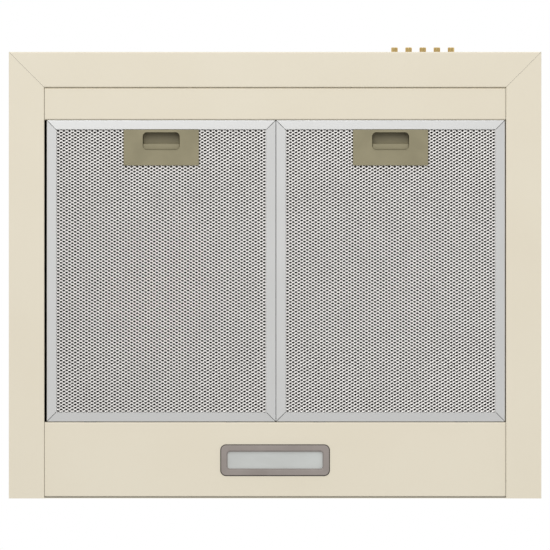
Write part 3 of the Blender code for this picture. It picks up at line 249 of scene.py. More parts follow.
NODE_SLOTS = {part["node"]: part["material_slot"] for part in frame["record"]["subparts"]}
BODIES = frame["record"]["behaviour"]["bodies"]
NODE_BODIES = {node: body for body, nodes in BODIES.items() for node in nodes}


def shell(node, finish, edge=0.0, smooth_angle=40):
    """A welded copy of a CAD solid that stands for it, with its sharp edges taken round."""
    bm = bmesh.new()
    bm.from_mesh(frame["nodes"][node].data)
    bmesh.ops.remove_doubles(bm, verts=bm.verts, dist=SHELL_WELD)
    bmesh.ops.dissolve_limit(bm, angle_limit=math.radians(SHELL_FLAT), verts=bm.verts, edges=bm.edges)
    mesh = bpy.data.meshes.new(node + "_shell")
    bm.to_mesh(mesh)
    bm.free()
    mesh.materials.clear()
    piece = bpy.data.objects.new(node + "_shell", mesh)
    bpy.context.scene.collection.objects.link(piece)
    dress(piece, finish, smooth_angle)
    if edge:
        round_edges(piece, edge)
    even_shading(piece)
    return fit(piece, NODE_BODIES[node], NODE_SLOTS[node], node)


def line_inside(piece, finish, middle, level):
    """Gives a second finish to every face that looks towards the middle of the casing from above a level."""
    mesh = piece.data
    mesh.materials.append(finish.material)
    normals = np.zeros(len(mesh.polygons) * 3, np.float32)
    centres = np.zeros(len(mesh.polygons) * 3, np.float32)
    mesh.polygons.foreach_get("normal", normals)
    mesh.polygons.foreach_get("center", centres)
    towards = np.array(middle) - centres.reshape(-1, 3)
    inner = (towards * normals.reshape(-1, 3)).sum(axis=1) > 0
    inner &= centres[2::3] > level
    mesh.polygons.foreach_set("material_index", inner.astype(np.int32))


for panel in LINED_PANELS:
    line_inside(shell(panel, cream), interior_shade, CASING_MIDDLE, LIP_TOP)
for panel in PLAIN_PANELS:
    shell(panel, cream)


# Filter frames: each cassette is a satin aluminium channel in four mitred lengths round the mesh.
# The rails are rolled, so fine lines run along them. Two flat tabs at the rear reach over the light
# panel; they are coloured near black as painted shade for the dark gap there.

RAIL_SIDE = 0.0110
RAIL_END = 0.0104
RAIL_WALL = 0.0009
RAIL_ROUND = 0.0007
RAIL_SLOPE = 0.0004
RAIL_BREAK = 0.0003
MITRE_GAP = 0.0004
TAB_WIDTH = 0.014
TAB_THICKNESS = 0.0012
TAB_RISE = 0.0015
TAB_SPREAD = 0.160
ALUMINIUM = (0.785, 0.785, 0.78)
ALUMINIUM_DARK = (0.62, 0.62, 0.62)
TAB_SHADE = (0.13, 0.13, 0.127)
TAB_SHADE_DARK = (0.09, 0.09, 0.088)
PIECE_WELD = 0.0000005


def rolled_aluminium(name, stretch):
    """Satin aluminium whose rolling lines run along the axis that the noise is stretched on."""
    metal = Finish(name, ALUMINIUM, 0.38, 1.0)
    lines = metal.noise(1500, stretch, detail=4)
    cloud = metal.noise(18, detail=3)
    metal.tint(lines * 0.35 + cloud * 0.25, ALUMINIUM_DARK)
    metal.set(Roughness=cloud * 0.16 + lines * 0.12 + 0.27)
    metal.bump(lines, 0.000012)
    return metal


def grid_faces(rows, columns, wrap_rows=False, wrap_columns=False):
    """Four-cornered faces of a rows by columns grid of points, closed round either way if asked."""
    row = np.arange(rows if wrap_rows else rows - 1)[:, None]
    column = np.arange(columns if wrap_columns else columns - 1)[None, :]
    next_row, next_column = (row + 1) % rows, (column + 1) % columns
    corners = (
        row * columns + column,
        row * columns + next_column,
        next_row * columns + next_column,
        next_row * columns + column,
    )
    return np.stack([np.broadcast_to(c, (row.size, column.size)).ravel() for c in corners], axis=1)


def closed_piece(name, points, faces, finish, smooth_angle=40):
    """A closed mesh from points and faces: doubles welded, then every face turned outwards."""
    mesh = bpy.data.meshes.new(name)
    mesh.from_pydata(np.asarray(points).reshape(-1, 3).tolist(), [], faces)
    bm = bmesh.new()
    bm.from_mesh(mesh)
    bmesh.ops.remove_doubles(bm, verts=bm.verts, dist=PIECE_WELD)
    bmesh.ops.recalc_face_normals(bm, faces=bm.faces)
    bm.to_mesh(mesh)
    bm.free()
    piece = bpy.data.objects.new(name, mesh)
    bpy.context.scene.collection.objects.link(piece)
    dress(piece, finish, smooth_angle)
    even_shading(piece)
    return piece


def loft(name, loops, finish, ring=False, smooth_angle=40):
    """A skin through closed loops of equally many points; a ring joins the last loop to the first."""
    loops = np.asarray(loops)
    rows, columns = loops.shape[:2]
    faces = grid_faces(rows, columns, wrap_rows=ring, wrap_columns=True).tolist()
    if not ring:
        last = (rows - 1) * columns
        faces += [list(range(columns)), list(range(last, last + columns))]
    return closed_piece(name, loops, faces, finish, smooth_angle)


def channel_outline(width, height):
    """The channel's section as (distance in from the outer edge, height): a C with round outer corners.

    Its lower face rises by the slope from the inner edge to the outer one.
    """
    turn = np.radians(np.linspace(90, 0, 6))
    low = np.stack([RAIL_ROUND * (1 - np.sin(turn)), RAIL_SLOPE + RAIL_ROUND * (1 - np.cos(turn))], 1)
    high = np.stack([RAIL_ROUND * (1 - np.sin(turn)), height - RAIL_ROUND * (1 - np.cos(turn))], 1)[::-1]
    sill, lintel = RAIL_SLOPE + RAIL_WALL, height - RAIL_WALL
    inner = [
        (width - RAIL_BREAK, 0),
        (width, RAIL_BREAK),
        (width, RAIL_WALL),
        (RAIL_WALL, sill),
        (RAIL_WALL, lintel),
        (width, lintel),
        (width, height - RAIL_BREAK),
        (width - RAIL_BREAK, height),
    ]
    return np.concatenate([low, inner, high])


def rail(name, outline, corner, along, inward, length, finish):
    """One length of channel: its section carried along a straight line, both ends cut at 45 degrees."""
    inset, height = outline[:, 0], outline[:, 1]
    ends = np.stack([inset + MITRE_GAP, length - inset - MITRE_GAP])
    points = np.array(corner) + ends[..., None] * np.array(along)
    points = points + inset[:, None] * np.array(inward) + height[:, None] * np.array((0, 0, 1))
    return loft(name, points, finish, smooth_angle=35)


def rounded_loop(width, depth, corner, middle, steps=7):
    """A rectangle with round corners, level at its middle point: four arcs joined by straights."""
    turn = np.radians(np.linspace(0, 90, steps))
    arcs = [np.stack([np.cos(turn + q), np.sin(turn + q)], 1) for q in np.radians((0, 90, 180, 270))]
    signs = np.array([(1, 1), (-1, 1), (-1, -1), (1, -1)])
    reach = np.array((width / 2 - corner, depth / 2 - corner))
    flat = np.concatenate([sign * reach + corner * arc for sign, arc in zip(signs, arcs)])
    return np.concatenate([flat, np.zeros((len(flat), 1))], 1) + np.array(middle)


def soft_block(name, low, high, corner, edge, finish):
    """A block with round upright corners and its upper and lower edges taken round by an arc."""
    low, high = np.array(low), np.array(high)
    width, depth = (high - low)[:2]
    middle = (low + high) / 2
    turn = np.radians(np.linspace(0, 90, 4))
    pull, rise = edge * (1 - np.sin(turn)), edge * (1 - np.cos(turn))
    steps = [(p, low[2] + r) for p, r in zip(pull, rise)]
    steps += [(p, high[2] - r) for p, r in zip(pull[::-1], rise[::-1])]
    loops = [
        rounded_loop(width - 2 * p, depth - 2 * p, max(corner - p, corner / 4), (middle[0], middle[1], z))
        for p, z in steps
    ]
    return loft(name, loops, finish, smooth_angle=50)


rolled_across = rolled_aluminium("rolled_aluminium_across", (0.02, 1, 1))
rolled_along = rolled_aluminium("rolled_aluminium_fore_and_aft", (1, 0.02, 1))

# Tab colour is painted shade: near black, so the tabs merge with the shaded gap along the rear.
tab_shade = Finish("dull_aluminium", TAB_SHADE, 0.6, 0.8)
tab_shade.tint(tab_shade.noise(300, detail=3), TAB_SHADE_DARK)
tab_shade.set(Roughness=tab_shade.noise(500, detail=2) * 0.2 + 0.5)
tab_shade.bump(tab_shade.noise(900, detail=2), 0.00002)

hinges = {joint["name"]: joint["pos_m"] for joint in frame["joints"] if "pos_m" in joint}

for side in ("left", "right"):
    node = "filter_frame_" + side
    low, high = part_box(node)
    hinge_y = hinges[f"filter_{side}_drop"][1]
    width, depth, height = high.x - low.x, hinge_y - low.y, high.z - low.z
    end_outline = channel_outline(RAIL_END, height)
    side_outline = channel_outline(RAIL_SIDE, height)
    rear_corner, right_corner = (low.x, hinge_y, low.z), (high.x, low.y, low.z)
    pieces = [
        rail(node + "_front_rail", end_outline, low, (1, 0, 0), (0, 1, 0), width, rolled_across),
        rail(node + "_rear_rail", end_outline, rear_corner, (1, 0, 0), (0, -1, 0), width, rolled_across),
        rail(node + "_left_rail", side_outline, low, (0, 1, 0), (1, 0, 0), depth, rolled_along),
        rail(node + "_right_rail", side_outline, right_corner, (0, 1, 0), (-1, 0, 0), depth, rolled_along),
    ]
    for end in (-1, 1):
        x = (low.x + high.x + end * TAB_SPREAD) / 2
        tab_low = (x - TAB_WIDTH / 2, hinge_y - RAIL_WALL, low.z + TAB_RISE)
        tab_high = (x + TAB_WIDTH / 2, high.y, low.z + TAB_RISE + TAB_THICKNESS)
        tab_name = f"{node}_tab_{'left' if end < 0 else 'right'}"
        pieces.append(soft_block(tab_name, tab_low, tab_high, 0.002, 0.0003, tab_shade))
    for piece in pieces:
        fit(piece, "filter_" + side, "satin_aluminium", node)


# Filter mesh: layers of expanded aluminium foil round a dense mat of crushed foil. Slit foil is pulled
# open into staggered diamonds, so each strand is a ribbon turned part way on edge.

FOIL = (0.97, 0.948, 0.926)
FOIL_DARK = (0.66, 0.64, 0.62)
INNER_FOIL_SHADE = (0.05, 0.048, 0.046)
INNER_FOIL_SHADE_DARK = (0.025, 0.024, 0.023)
MAT_FOIL_SHADE = (0.020, 0.020, 0.019)
MAT_FOIL_SHADE_PALE = (0.045, 0.044, 0.042)
LOWER_PITCH = (0.00636, 0.00367)
LOWER_OPENING = (0.00193, 0.00122)
INNER_PITCH = (0.0106, 0.0064)
INNER_OPENING = (0.0026, 0.0014)
OPENING_SLANT = 0.00026
STRAND_TURN = 0.00032
STRAND_THICKNESS = 0.00030
RIM_POINTS = 8
LOWER_LEVEL = 0.0015
INNER_LEVEL = 0.0028
UPPER_LEVEL = 0.0050
MAT_LOW = 0.0035
MAT_HIGH = 0.0043
MAT_TUCK = 0.003
PLATE_OVERLAP = 0.0035
GAP_FRONT = 0.0315

foil = Finish("expanded_foil", FOIL, 0.33, 1.0)
foil.tint(foil.noise(30, detail=3) * 0.4 + foil.noise(900, detail=2) * 0.35, FOIL_DARK)
foil.set(Roughness=foil.noise(400, detail=3) * 0.2 + 0.26)
foil.bump(foil.noise(2600, detail=2), 0.00002)

# The middle layer is coloured near black: painted shade for the inside of the filter, not the foil's own colour.
inner_foil_shade = Finish("shadowed_inner_foil", INNER_FOIL_SHADE, 0.5, 1.0)
inner_foil_shade.tint(inner_foil_shade.noise(120, detail=3), INNER_FOIL_SHADE_DARK)
inner_foil_shade.set(Roughness=inner_foil_shade.noise(300, detail=2) * 0.25 + 0.4)

# The crushed foil mat is coloured near black: painted shade for the depth of the filter.
mat_foil_shade = Finish("crushed_foil_mat", MAT_FOIL_SHADE, 0.8)
mat_foil_shade.tint(mat_foil_shade.noise(700, detail=3).between(0.45, 0.7), MAT_FOIL_SHADE_PALE)
mat_foil_shade.bump(mat_foil_shade.noise(500, detail=3), 0.0004)


def expanded_sheet(name, low, high, gap, pitch, opening, level, finish):
    """Expanded sheet: rhombic cells on a staggered lattice, each a ring of foil round a slanted oval hole.

    Cell middles are the lattice points whose two whole numbers have an even sum, and a cell's four knots
    are their neighbours, shared with the cells around it. A strand is thickest on the line between two
    knots and thin at the rim of a hole. The rim rises by the turn times the sine of the angle round it,
    so the strands lean to the front. Cells whose middle is in the gap are left out, and free edges walled.
    """
    step = np.array(pitch) / 2
    counts = np.ceil((np.array(high) - low) / step).astype(int)
    origin = (np.array(low) + high - counts * step) / 2
    across, back = np.meshgrid(np.arange(1, counts[0]), np.arange(1, counts[1]), indexing="ij")
    cells = np.stack([across, back], 2)[(across + back) % 2 == 0]
    middles = origin + cells * step
    outside = ((middles < gap[0]) | (middles > gap[1])).any(axis=1)
    cells, middles = cells[outside], middles[outside]

    knots = cells[:, None] + np.array([(1, 0), (0, 1), (-1, 0), (0, -1)])
    places, knot = np.unique(knots.reshape(-1, 2), axis=0, return_inverse=True)
    knot = knot.reshape(-1, 4)
    angle = np.linspace(0, 2 * math.pi, RIM_POINTS, endpoint=False)
    slanted = opening[1] * np.sin(angle) + OPENING_SLANT * np.cos(angle)
    oval = np.stack([opening[0] * np.cos(angle), slanted], 1)
    rim_height = np.broadcast_to(level + STRAND_TURN * np.sin(angle), (len(cells), RIM_POINTS))
    rims = np.concatenate([middles[:, None] + oval, rim_height[..., None]], 2).reshape(-1, 3)
    flat = origin + places * step
    heights = (level - STRAND_THICKNESS / 2, level + STRAND_THICKNESS / 2)
    lower, upper = (np.column_stack([flat, np.full(len(flat), height)]) for height in heights)
    points = np.concatenate([lower, upper, rims]).astype(np.float32)

    quarter = RIM_POINTS // 4
    rim = 2 * len(places) + RIM_POINTS * np.arange(len(cells))[:, None] + np.arange(RIM_POINTS)
    corner = np.repeat(np.arange(4), quarter)
    after = np.roll(np.arange(RIM_POINTS), -1)
    webs = [(knot[:, corner], rim, rim[:, after])]
    webs += [(knot, rim[:, ::quarter], np.roll(knot, 1, axis=1))]
    webs = np.concatenate([np.stack(web, 2).reshape(-1, 3) for web in webs])
    over = np.where(webs < len(places), webs + len(places), webs)[:, ::-1]
    ends = np.stack([knot, np.roll(knot, -1, axis=1)], 2).reshape(-1, 2)
    _, which, uses = np.unique(np.sort(ends, axis=1), axis=0, return_inverse=True, return_counts=True)
    start, end = ends[uses[which.reshape(-1)] == 1].T
    walls = [(start, end, end + len(places)), (start, end + len(places), start + len(places))]
    faces = np.concatenate([webs, over] + [np.stack(wall, 1) for wall in walls]).astype(np.int32)

    mesh = bpy.data.meshes.new(name)
    mesh.vertices.add(len(points))
    mesh.vertices.foreach_set("co", points.ravel())
    mesh.loops.add(faces.size)
    mesh.loops.foreach_set("vertex_index", faces.ravel())
    mesh.polygons.add(len(faces))
    mesh.polygons.foreach_set("loop_start", np.arange(0, faces.size, 3, dtype=np.int32))
    mesh.update(calc_edges=True)
    piece = bpy.data.objects.new(name, mesh)
    bpy.context.scene.collection.objects.link(piece)
    dress(piece, finish, 60)
    return piece


for side in ("left", "right"):
    frame_low, frame_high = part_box("filter_frame_" + side)
    plate_low, plate_high = (np.array(corner[:2]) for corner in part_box("latch_housing_" + side))
    gap = (plate_low + (PLATE_OVERLAP, -GAP_FRONT), plate_high - PLATE_OVERLAP)
    hinge_y = hinges[f"filter_{side}_drop"][1]
    clear_low = np.array((frame_low.x + RAIL_SIDE, frame_low.y + RAIL_END))
    clear_high = np.array((frame_high.x - RAIL_SIDE, hinge_y - RAIL_END))
    for layer, pitch, opening, level, finish in (
        ("lower", LOWER_PITCH, LOWER_OPENING, LOWER_LEVEL, foil),
        ("inner", INNER_PITCH, INNER_OPENING, INNER_LEVEL, inner_foil_shade),
        ("upper", INNER_PITCH, INNER_OPENING, UPPER_LEVEL, foil),
    ):
        name = f"filter_mesh_{side}_{layer}"
        low, high = clear_low - np.array(pitch) / 2, clear_high + np.array(pitch) / 2
        sheet = expanded_sheet(name, low, high, gap, pitch, opening, frame_low.z + level, finish)
        fit(sheet, "filter_" + side, "mesh_aluminium", "filter_mesh_" + side)
    left, front, right, rear = *(clear_low - MAT_TUCK), *(clear_high + MAT_TUCK)
    notch_left, notch_right, notch_rear = gap[0][0], gap[1][0], gap[1][1]
    outline = [(left, front), (notch_left, front), (notch_left, notch_rear), (notch_right, notch_rear)]
    outline += [(notch_right, front), (right, front), (right, rear), (left, rear)]
    loops = [[(x, y, frame_low.z + z) for x, y in outline] for z in (MAT_LOW, MAT_HIGH)]
    mat = loft(f"filter_mat_{side}", loops, mat_foil_shade)
    fit(mat, "filter_" + side, "mesh_aluminium", "filter_mesh_" + side)


# Latches: an olive plastic face plate with a finger window, a pocket box behind it and a cover over the
# slider. The slider has a round finger lip, a carriage over the pocket and a nose that holds the front.

OLIVE = (0.300, 0.266, 0.164)
OLIVE_DARK = (0.258, 0.229, 0.139)
OLIVE_POCKET_SHADE = (0.082, 0.069, 0.034)
PLATE_THICKNESS = 0.001
PLATE_CORNER = 0.0012
WINDOW_WIDTH = 0.0414
WINDOW_DEPTH = 0.0198
WINDOW_MARGIN = 0.003
WINDOW_CORNER = 0.0046
PLATE_EDGE = ((0, 0.0010), (0, 0.0004), (0.0001, 0.00015), (0.0004, 0))
WINDOW_RIM = (
    (0.0012, 0),
    (0.0009, -0.00022),
    (0.0005, -0.0003),
    (0.0002, -0.00018),
    (0, 0.0002),
    (0, 0.0009),
)
LIP_TUCK = 0.0008
POCKET_WALL = 0.0012
POCKET_REAR = 0.0072
LIP_DEPTH = 0.0063
LIP_ROUND = 0.0009
CARRIAGE_THICKNESS = 0.0015
NOSE_HALF = 0.0146
NOSE_OVERLAP = 0.004
SLIDE_PLAY = 0.0003

olive = Finish("moulded_olive_plastic", OLIVE, 0.5)
olive.tint(olive.noise(35, detail=4).between(0.3, 0.75), OLIVE_DARK)

pocket_shaded_olive = Finish("handled_olive_plastic", OLIVE, 0.5)
window_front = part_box("latch_housing_left")[0].y + WINDOW_MARGIN
lip_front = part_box("latch_slider_left")[1].y - LIP_DEPTH
# Darker towards the front of the finger window, with random tone over it: painted shade for the deep pocket.
pocket_shade = 1 - pocket_shaded_olive.along("Y").between(window_front - 0.002, lip_front + 0.003)
pocket_shaded_olive.tint(pocket_shade * 0.75 + pocket_shaded_olive.noise(80, detail=4) * 0.2, OLIVE_POCKET_SHADE)
for plastic in (olive, pocket_shaded_olive):
    plastic.set(Roughness=plastic.noise(500, detail=2) * 0.2 + 0.42)
    plastic.bump(plastic.noise(1800, detail=1), 0.00002)


def extruded(name, outline, axis, start, end, finish, smooth_angle=35):
    """A closed outline of (first, second) pairs carried along X or Y from start to end."""
    outline = np.array(outline)
    rows = []
    for place in (start, end):
        along = np.full(len(outline), place)
        columns = (along, outline[:, 0]) if axis == "x" else (outline[:, 0], along)
        rows.append(np.stack([*columns, outline[:, 1]], 1))
    return loft(name, rows, finish, smooth_angle=smooth_angle)


for side in ("left", "right"):
    node = "latch_housing_" + side
    low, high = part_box(node)
    slider_low, slider_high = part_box("latch_slider_" + side)
    x, y = (low.x + high.x) / 2, (low.y + high.y) / 2
    width, depth = high.x - low.x, high.y - low.y
    window_y = low.y + WINDOW_MARGIN + WINDOW_DEPTH / 2
    face, back = low.z, low.z + PLATE_THICKNESS
    box_front = window_y - WINDOW_DEPTH / 2 - SLIDE_PLAY
    box_rear = slider_high.y + POCKET_REAR
    box_width, box_depth = WINDOW_WIDTH + 4 * SLIDE_PLAY, box_rear - box_front
    box_y = (box_front + box_rear) / 2
    box_top = slider_high.z - CARRIAGE_THICKNESS - SLIDE_PLAY / 3

    def plate_loop(pull, z):
        return rounded_loop(width - 2 * pull, depth - 2 * pull, PLATE_CORNER, (x, y, z))

    def window_loop(push, z):
        corner = WINDOW_CORNER + push
        return rounded_loop(WINDOW_WIDTH + 2 * push, WINDOW_DEPTH + 2 * push, corner, (x, window_y, z))

    def box_loop(push, z):
        corner = POCKET_WALL / 2 + push
        return rounded_loop(box_width + 2 * push, box_depth + 2 * push, corner, (x, box_y, z))

    loops = [plate_loop(pull, face + rise) for pull, rise in PLATE_EDGE]
    loops += [window_loop(push, face + rise) for push, rise in WINDOW_RIM]
    loops += [box_loop(0, back), box_loop(0, box_top)]
    loops += [box_loop(POCKET_WALL, box_top), box_loop(POCKET_WALL, back)]
    fit(loft(node + "_plate", loops, olive, ring=True), "filter_" + side, "olive_plastic", node)

    half = box_width / 2
    leg, roof = box_top + SLIDE_PLAY / 3, high.z - POCKET_WALL
    cover_outline = [
        (x - half - POCKET_WALL, leg),
        (x - half, leg),
        (x - half, roof),
        (x + half, roof),
        (x + half, leg),
        (x + half + POCKET_WALL, leg),
        (x + half + POCKET_WALL, high.z),
        (x - half - POCKET_WALL, high.z),
    ]
    cover = extruded(node + "_cover", cover_outline, "y", box_front - POCKET_WALL, box_rear, olive)
    round_edges(cover, 0.0003)
    fit(cover, "filter_" + side, "olive_plastic", node)

    node = "latch_slider_" + side
    top, floor_z, rear = slider_high.z, slider_low.z, slider_high.y + LIP_TUCK
    carriage = top - CARRIAGE_THICKNESS
    turn = np.radians(np.linspace(0, 90, 6))
    lip = rear - LIP_TUCK - LIP_DEPTH
    near, far = LIP_ROUND * (1 - np.cos(turn)), LIP_ROUND * (1 - np.sin(turn))
    toe = np.stack([lip + near, floor_z + far], 1)
    heel = np.stack([rear - far, floor_z + near], 1)
    slider_outline = [
        *toe.tolist(),
        *heel.tolist(),
        (rear, top),
        (box_front + SLIDE_PLAY, top),
        (box_front + SLIDE_PLAY, carriage),
        (lip, carriage),
    ]
    body = extruded(node + "_lip", slider_outline, "x", slider_low.x, slider_high.x, pocket_shaded_olive)
    round_edges(body, 0.0004)
    nose_low = (x - NOSE_HALF, slider_low.y, carriage + SLIDE_PLAY)
    nose_high = (x + NOSE_HALF, box_front + NOSE_OVERLAP, top)
    nose = soft_block(node + "_nose", nose_low, nose_high, 0.002, 0.0003, olive)
    for piece in (body, nose):
        fit(piece, "latch_" + side, "olive_plastic", node)


# Lamp: a taupe bezel on a near black gasket ring, snapped into the light panel, with a frosted diffuser on
# its inner ledge, a strip of light emitting diodes on a board above it and a moulded cover over that.
# The near black ring is painted shade for the dark line round the bezel.

TAUPE = (0.322, 0.282, 0.262)
TAUPE_DARK = (0.272, 0.236, 0.217)
GASKET_SHADE = (0.030, 0.028, 0.026)
FROSTED = (0.62, 0.64, 0.625)
FROSTED_DARK = (0.55, 0.562, 0.545)
BOARD = (0.035, 0.17, 0.075)
BOARD_TRACE = (0.06, 0.27, 0.13)
PHOSPHOR = (0.85, 0.68, 0.16)
PHOSPHOR_DARK = (0.75, 0.55, 0.10)
BEZEL = (0.1217, 0.0339, 0.0056)
BEZEL_EDGE = ((0, 0.0011), (0, 0.0006), (-0.00012, 0.0003), (-0.0005, 0.00008), (-0.0012, 0))
BEZEL_LIP = ((0.0022, 0), (0.0017, 0.00012), (0.0013, 0.0004))
LENS_WINDOW = (0.107, 0.0189, 0.0025)
LAMP_WALL = 0.0012
LENS_LEDGE = 0.0016
LEDGE_TOP = 0.0037
GASKET_PROUD = 0.0009
GASKET_TUCK = 0.0030
GASKET_EASE = 0.00002
SNAP_HALF = 0.004
SNAP_TUCK = 0.0005
SNAP_LEVELS = (0.0033, 0.0053)
DIODE_COUNT = 12
DIODE_SIZE = 0.0028
DIODE_LEVELS = (-0.0007, 0.0001)

taupe = Finish("moulded_taupe_plastic", TAUPE, 0.42)
taupe.tint(taupe.noise(30, detail=4).between(0.3, 0.8), TAUPE_DARK)
taupe.set(Roughness=taupe.noise(500, detail=2) * 0.18 + 0.36)
taupe.bump(taupe.noise(1500, detail=1), 0.000015)

# Near black ring: painted shade for the dark line round the bezel.
gasket_shade = Finish("black_foam_rubber", GASKET_SHADE, 0.8)
gasket_shade.set(Roughness=gasket_shade.noise(900, detail=2) * 0.2 + 0.7)
gasket_shade.bump(gasket_shade.noise(1200, detail=2), 0.00005)

lens = Finish("frosted_lens", FROSTED, 0.45, 0.0, **{"Coat Weight": 0.25, "Coat Roughness": 0.2})
lens.tint(lens.noise(45, (0.4, 1, 1), detail=3).between(0.3, 0.8), FROSTED_DARK)
lens.set(Roughness=lens.noise(700, detail=2) * 0.2 + 0.35)
lens.bump(lens.noise(1400, detail=1), 0.00002)

bezel_low, bezel_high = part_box("lamp_bezel")
lamp_x, lamp_y = (bezel_low.x + bezel_high.x) / 2, (bezel_low.y + bezel_high.y) / 2
flange_back = bezel_low.z + BEZEL_EDGE[0][1]


def bezel_loop(size, push, z):
    """The size's rounded rectangle pushed out all round by a distance, at a height."""
    corner = max(size[2] + push, 0.0008)
    return rounded_loop(size[0] + 2 * push, size[1] + 2 * push, corner, (lamp_x, lamp_y, z), steps=9)


body_push = LENS_LEDGE + LAMP_WALL
loops = [bezel_loop(BEZEL, push, bezel_low.z + rise) for push, rise in BEZEL_EDGE]
loops += [bezel_loop(LENS_WINDOW, push, bezel_low.z + rise) for push, rise in BEZEL_LIP]
loops += [
    bezel_loop(LENS_WINDOW, 0.0003, LEDGE_TOP - 0.0008),
    bezel_loop(LENS_WINDOW, 0, LEDGE_TOP),
    bezel_loop(LENS_WINDOW, LENS_LEDGE, LEDGE_TOP),
    bezel_loop(LENS_WINDOW, LENS_LEDGE, bezel_high.z),
    bezel_loop(LENS_WINDOW, body_push, bezel_high.z),
    bezel_loop(LENS_WINDOW, body_push, flange_back),
]
fit(loft("lamp_bezel_rim", loops, taupe, ring=True), "casing", "taupe_plastic", "lamp_bezel")
gasket_low, gasket_high = flange_back + GASKET_EASE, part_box("light_panel")[0].z - GASKET_EASE
section = [(-GASKET_TUCK, gasket_low), (GASKET_PROUD, gasket_low)]
section += [(GASKET_PROUD, gasket_high), (-GASKET_TUCK, gasket_high)]
loops = [bezel_loop(BEZEL, push, z) for push, z in section]
fit(loft("lamp_gasket", loops, gasket_shade, ring=True), "casing", "black_plastic")
for end, side in ((-1, "left"), (1, "right")):
    for way, edge, reach in ((-1, "front", 0.0005), (1, "rear", 0.0009)):
        x = lamp_x + end * (LENS_WINDOW[0] / 2 + body_push) / 2
        y = lamp_y + way * (LENS_WINDOW[1] / 2 + body_push)
        low, high = (x - SNAP_HALF, y - SNAP_TUCK, SNAP_LEVELS[0]), (x + SNAP_HALF, y + reach, SNAP_LEVELS[1])
        snap = soft_block(f"lamp_snap_{side}_{edge}", low, high, 0.0004, 0.0003, taupe)
        fit(snap, "casing", "taupe_plastic", "lamp_bezel")

lens_low, lens_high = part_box("lamp_lens")
diffuser = soft_block("lamp_diffuser", lens_low, lens_high, 0.0012, 0.0004, lens)
fit(diffuser, "casing", "frosted_lens", "lamp_lens")

board = Finish("green_board", BOARD, 0.35)
traces = board.noise(250, (1, 0.15, 1), detail=1).between(0.48, 0.56)
board.tint(traces, BOARD_TRACE)
board.set(Roughness=board.noise(600) * 0.2 + 0.28)
board.bump(traces, 0.00003)
shell("led_board", board, 0.0002)

phosphor = Finish("diode_phosphor", PHOSPHOR, 0.4)
phosphor.tint(phosphor.noise(3000), PHOSPHOR_DARK)
board_low, board_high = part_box("led_board")
pitch = (board_high.x - board_low.x) / DIODE_COUNT
for index in range(DIODE_COUNT):
    x = board_low.x + pitch * (index + 0.5)
    low = (x - DIODE_SIZE / 2, lamp_y - DIODE_SIZE / 2, board_low.z + DIODE_LEVELS[0])
    high = (x + DIODE_SIZE / 2, lamp_y + DIODE_SIZE / 2, board_low.z + DIODE_LEVELS[1])
    diode = soft_block(f"lamp_diode_{index + 1}", low, high, 0.0004, 0.0002, phosphor)
    fit(diode, "casing", "board_green")

shell("lamp_housing", taupe, 0.0006)


# Push buttons: five turned and polished brass caps in the front, each on a thinner stem that runs
# back into the switch block. Turning leaves fine rings round the caps. Dark streaks along each cap are a
# painted reflection of the polished cylinder.

BRASS = (0.83, 0.62, 0.27)
BRASS_DARK = (0.40, 0.27, 0.10)
BUTTON_RADIUS = 0.00375
STEM_RADIUS = 0.0025
STEM_LENGTH = 0.011
BUTTON_EDGE = 0.0007

brass = Finish("polished_brass", BRASS, 0.2, 1.0)
rings = brass.noise(2500, (0.02, 1, 0.02), detail=3)
# Rings from turning, plus a second noise in streaks along the cap's axis: painted reflection, darker between
# bright bands.
brass.tint(rings * 0.4 + brass.noise(500, (1, 0.1, 1), detail=2) * 0.6 - 0.1, BRASS_DARK)
brass.set(Roughness=brass.noise(300, detail=3) * 0.15 + rings * 0.08 + 0.1)
brass.bump(rings, 0.00001)


def turned(name, profile, centre, way, finish, steps=48, lobes=0.0, smooth_angle=35):
    """A (radius, height) profile turned about a line through the centre, its heights along the way.

    A profile that starts and ends on the axis is closed there, and any other profile is a closed ring.
    Lobes shape a point's radius by 1 + lobes cos 4a, which makes a cross recess.
    """
    profile = np.array(profile)
    on_axis = profile[0, 0] == 0
    angle = np.linspace(0, 2 * math.pi, steps, endpoint=False)
    lobes = np.broadcast_to(lobes, len(profile))[:, None]
    radius = profile[:, :1] * (1 + lobes * np.cos(4 * angle))
    way = Vector(way).normalized()
    side = way.orthogonal().normalized()
    other = way.cross(side)
    spokes = np.cos(angle)[:, None] * np.array(side) + np.sin(angle)[:, None] * np.array(other)
    points = radius[..., None] * spokes + profile[:, 1, None, None] * np.array(way) + np.array(centre)
    return loft(name, points, finish, ring=not on_axis, smooth_angle=smooth_angle)


def arc(centre, radius, start, end, steps=5):
    """Points (radius, height) round an arc from one angle to another, in degrees."""
    turn = np.radians(np.linspace(start, end, steps))
    return list(zip(centre[0] + radius * np.cos(turn), centre[1] + radius * np.sin(turn)))


for node in (n for n in frame["nodes"] if n.startswith("button_")):
    low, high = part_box(node)
    x, z = (low.x + high.x) / 2, (low.z + high.z) / 2
    length = high.y - low.y
    profile = [
        (0, length),
        (BUTTON_RADIUS * 0.45, length - 0.00005),
        *arc((BUTTON_RADIUS - BUTTON_EDGE, length - BUTTON_EDGE), BUTTON_EDGE, 90, 0),
        (BUTTON_RADIUS, STEM_LENGTH + 0.0006),
        (BUTTON_RADIUS - 0.0003, STEM_LENGTH),
        (STEM_RADIUS, STEM_LENGTH),
        (STEM_RADIUS, 0.0005),
        (STEM_RADIUS - 0.0005, 0),
        (0, 0),
    ]
    cap = turned(node + "_cap", profile, (x, high.y, z), (0, -1, 0), brass)
    fit(cap, NODE_BODIES[node], "brass", node)


# Switch: a black moulded block behind the buttons, hung by two screws from a zinc plated angle bracket.
# Its rear carries a row of flat blade terminals.

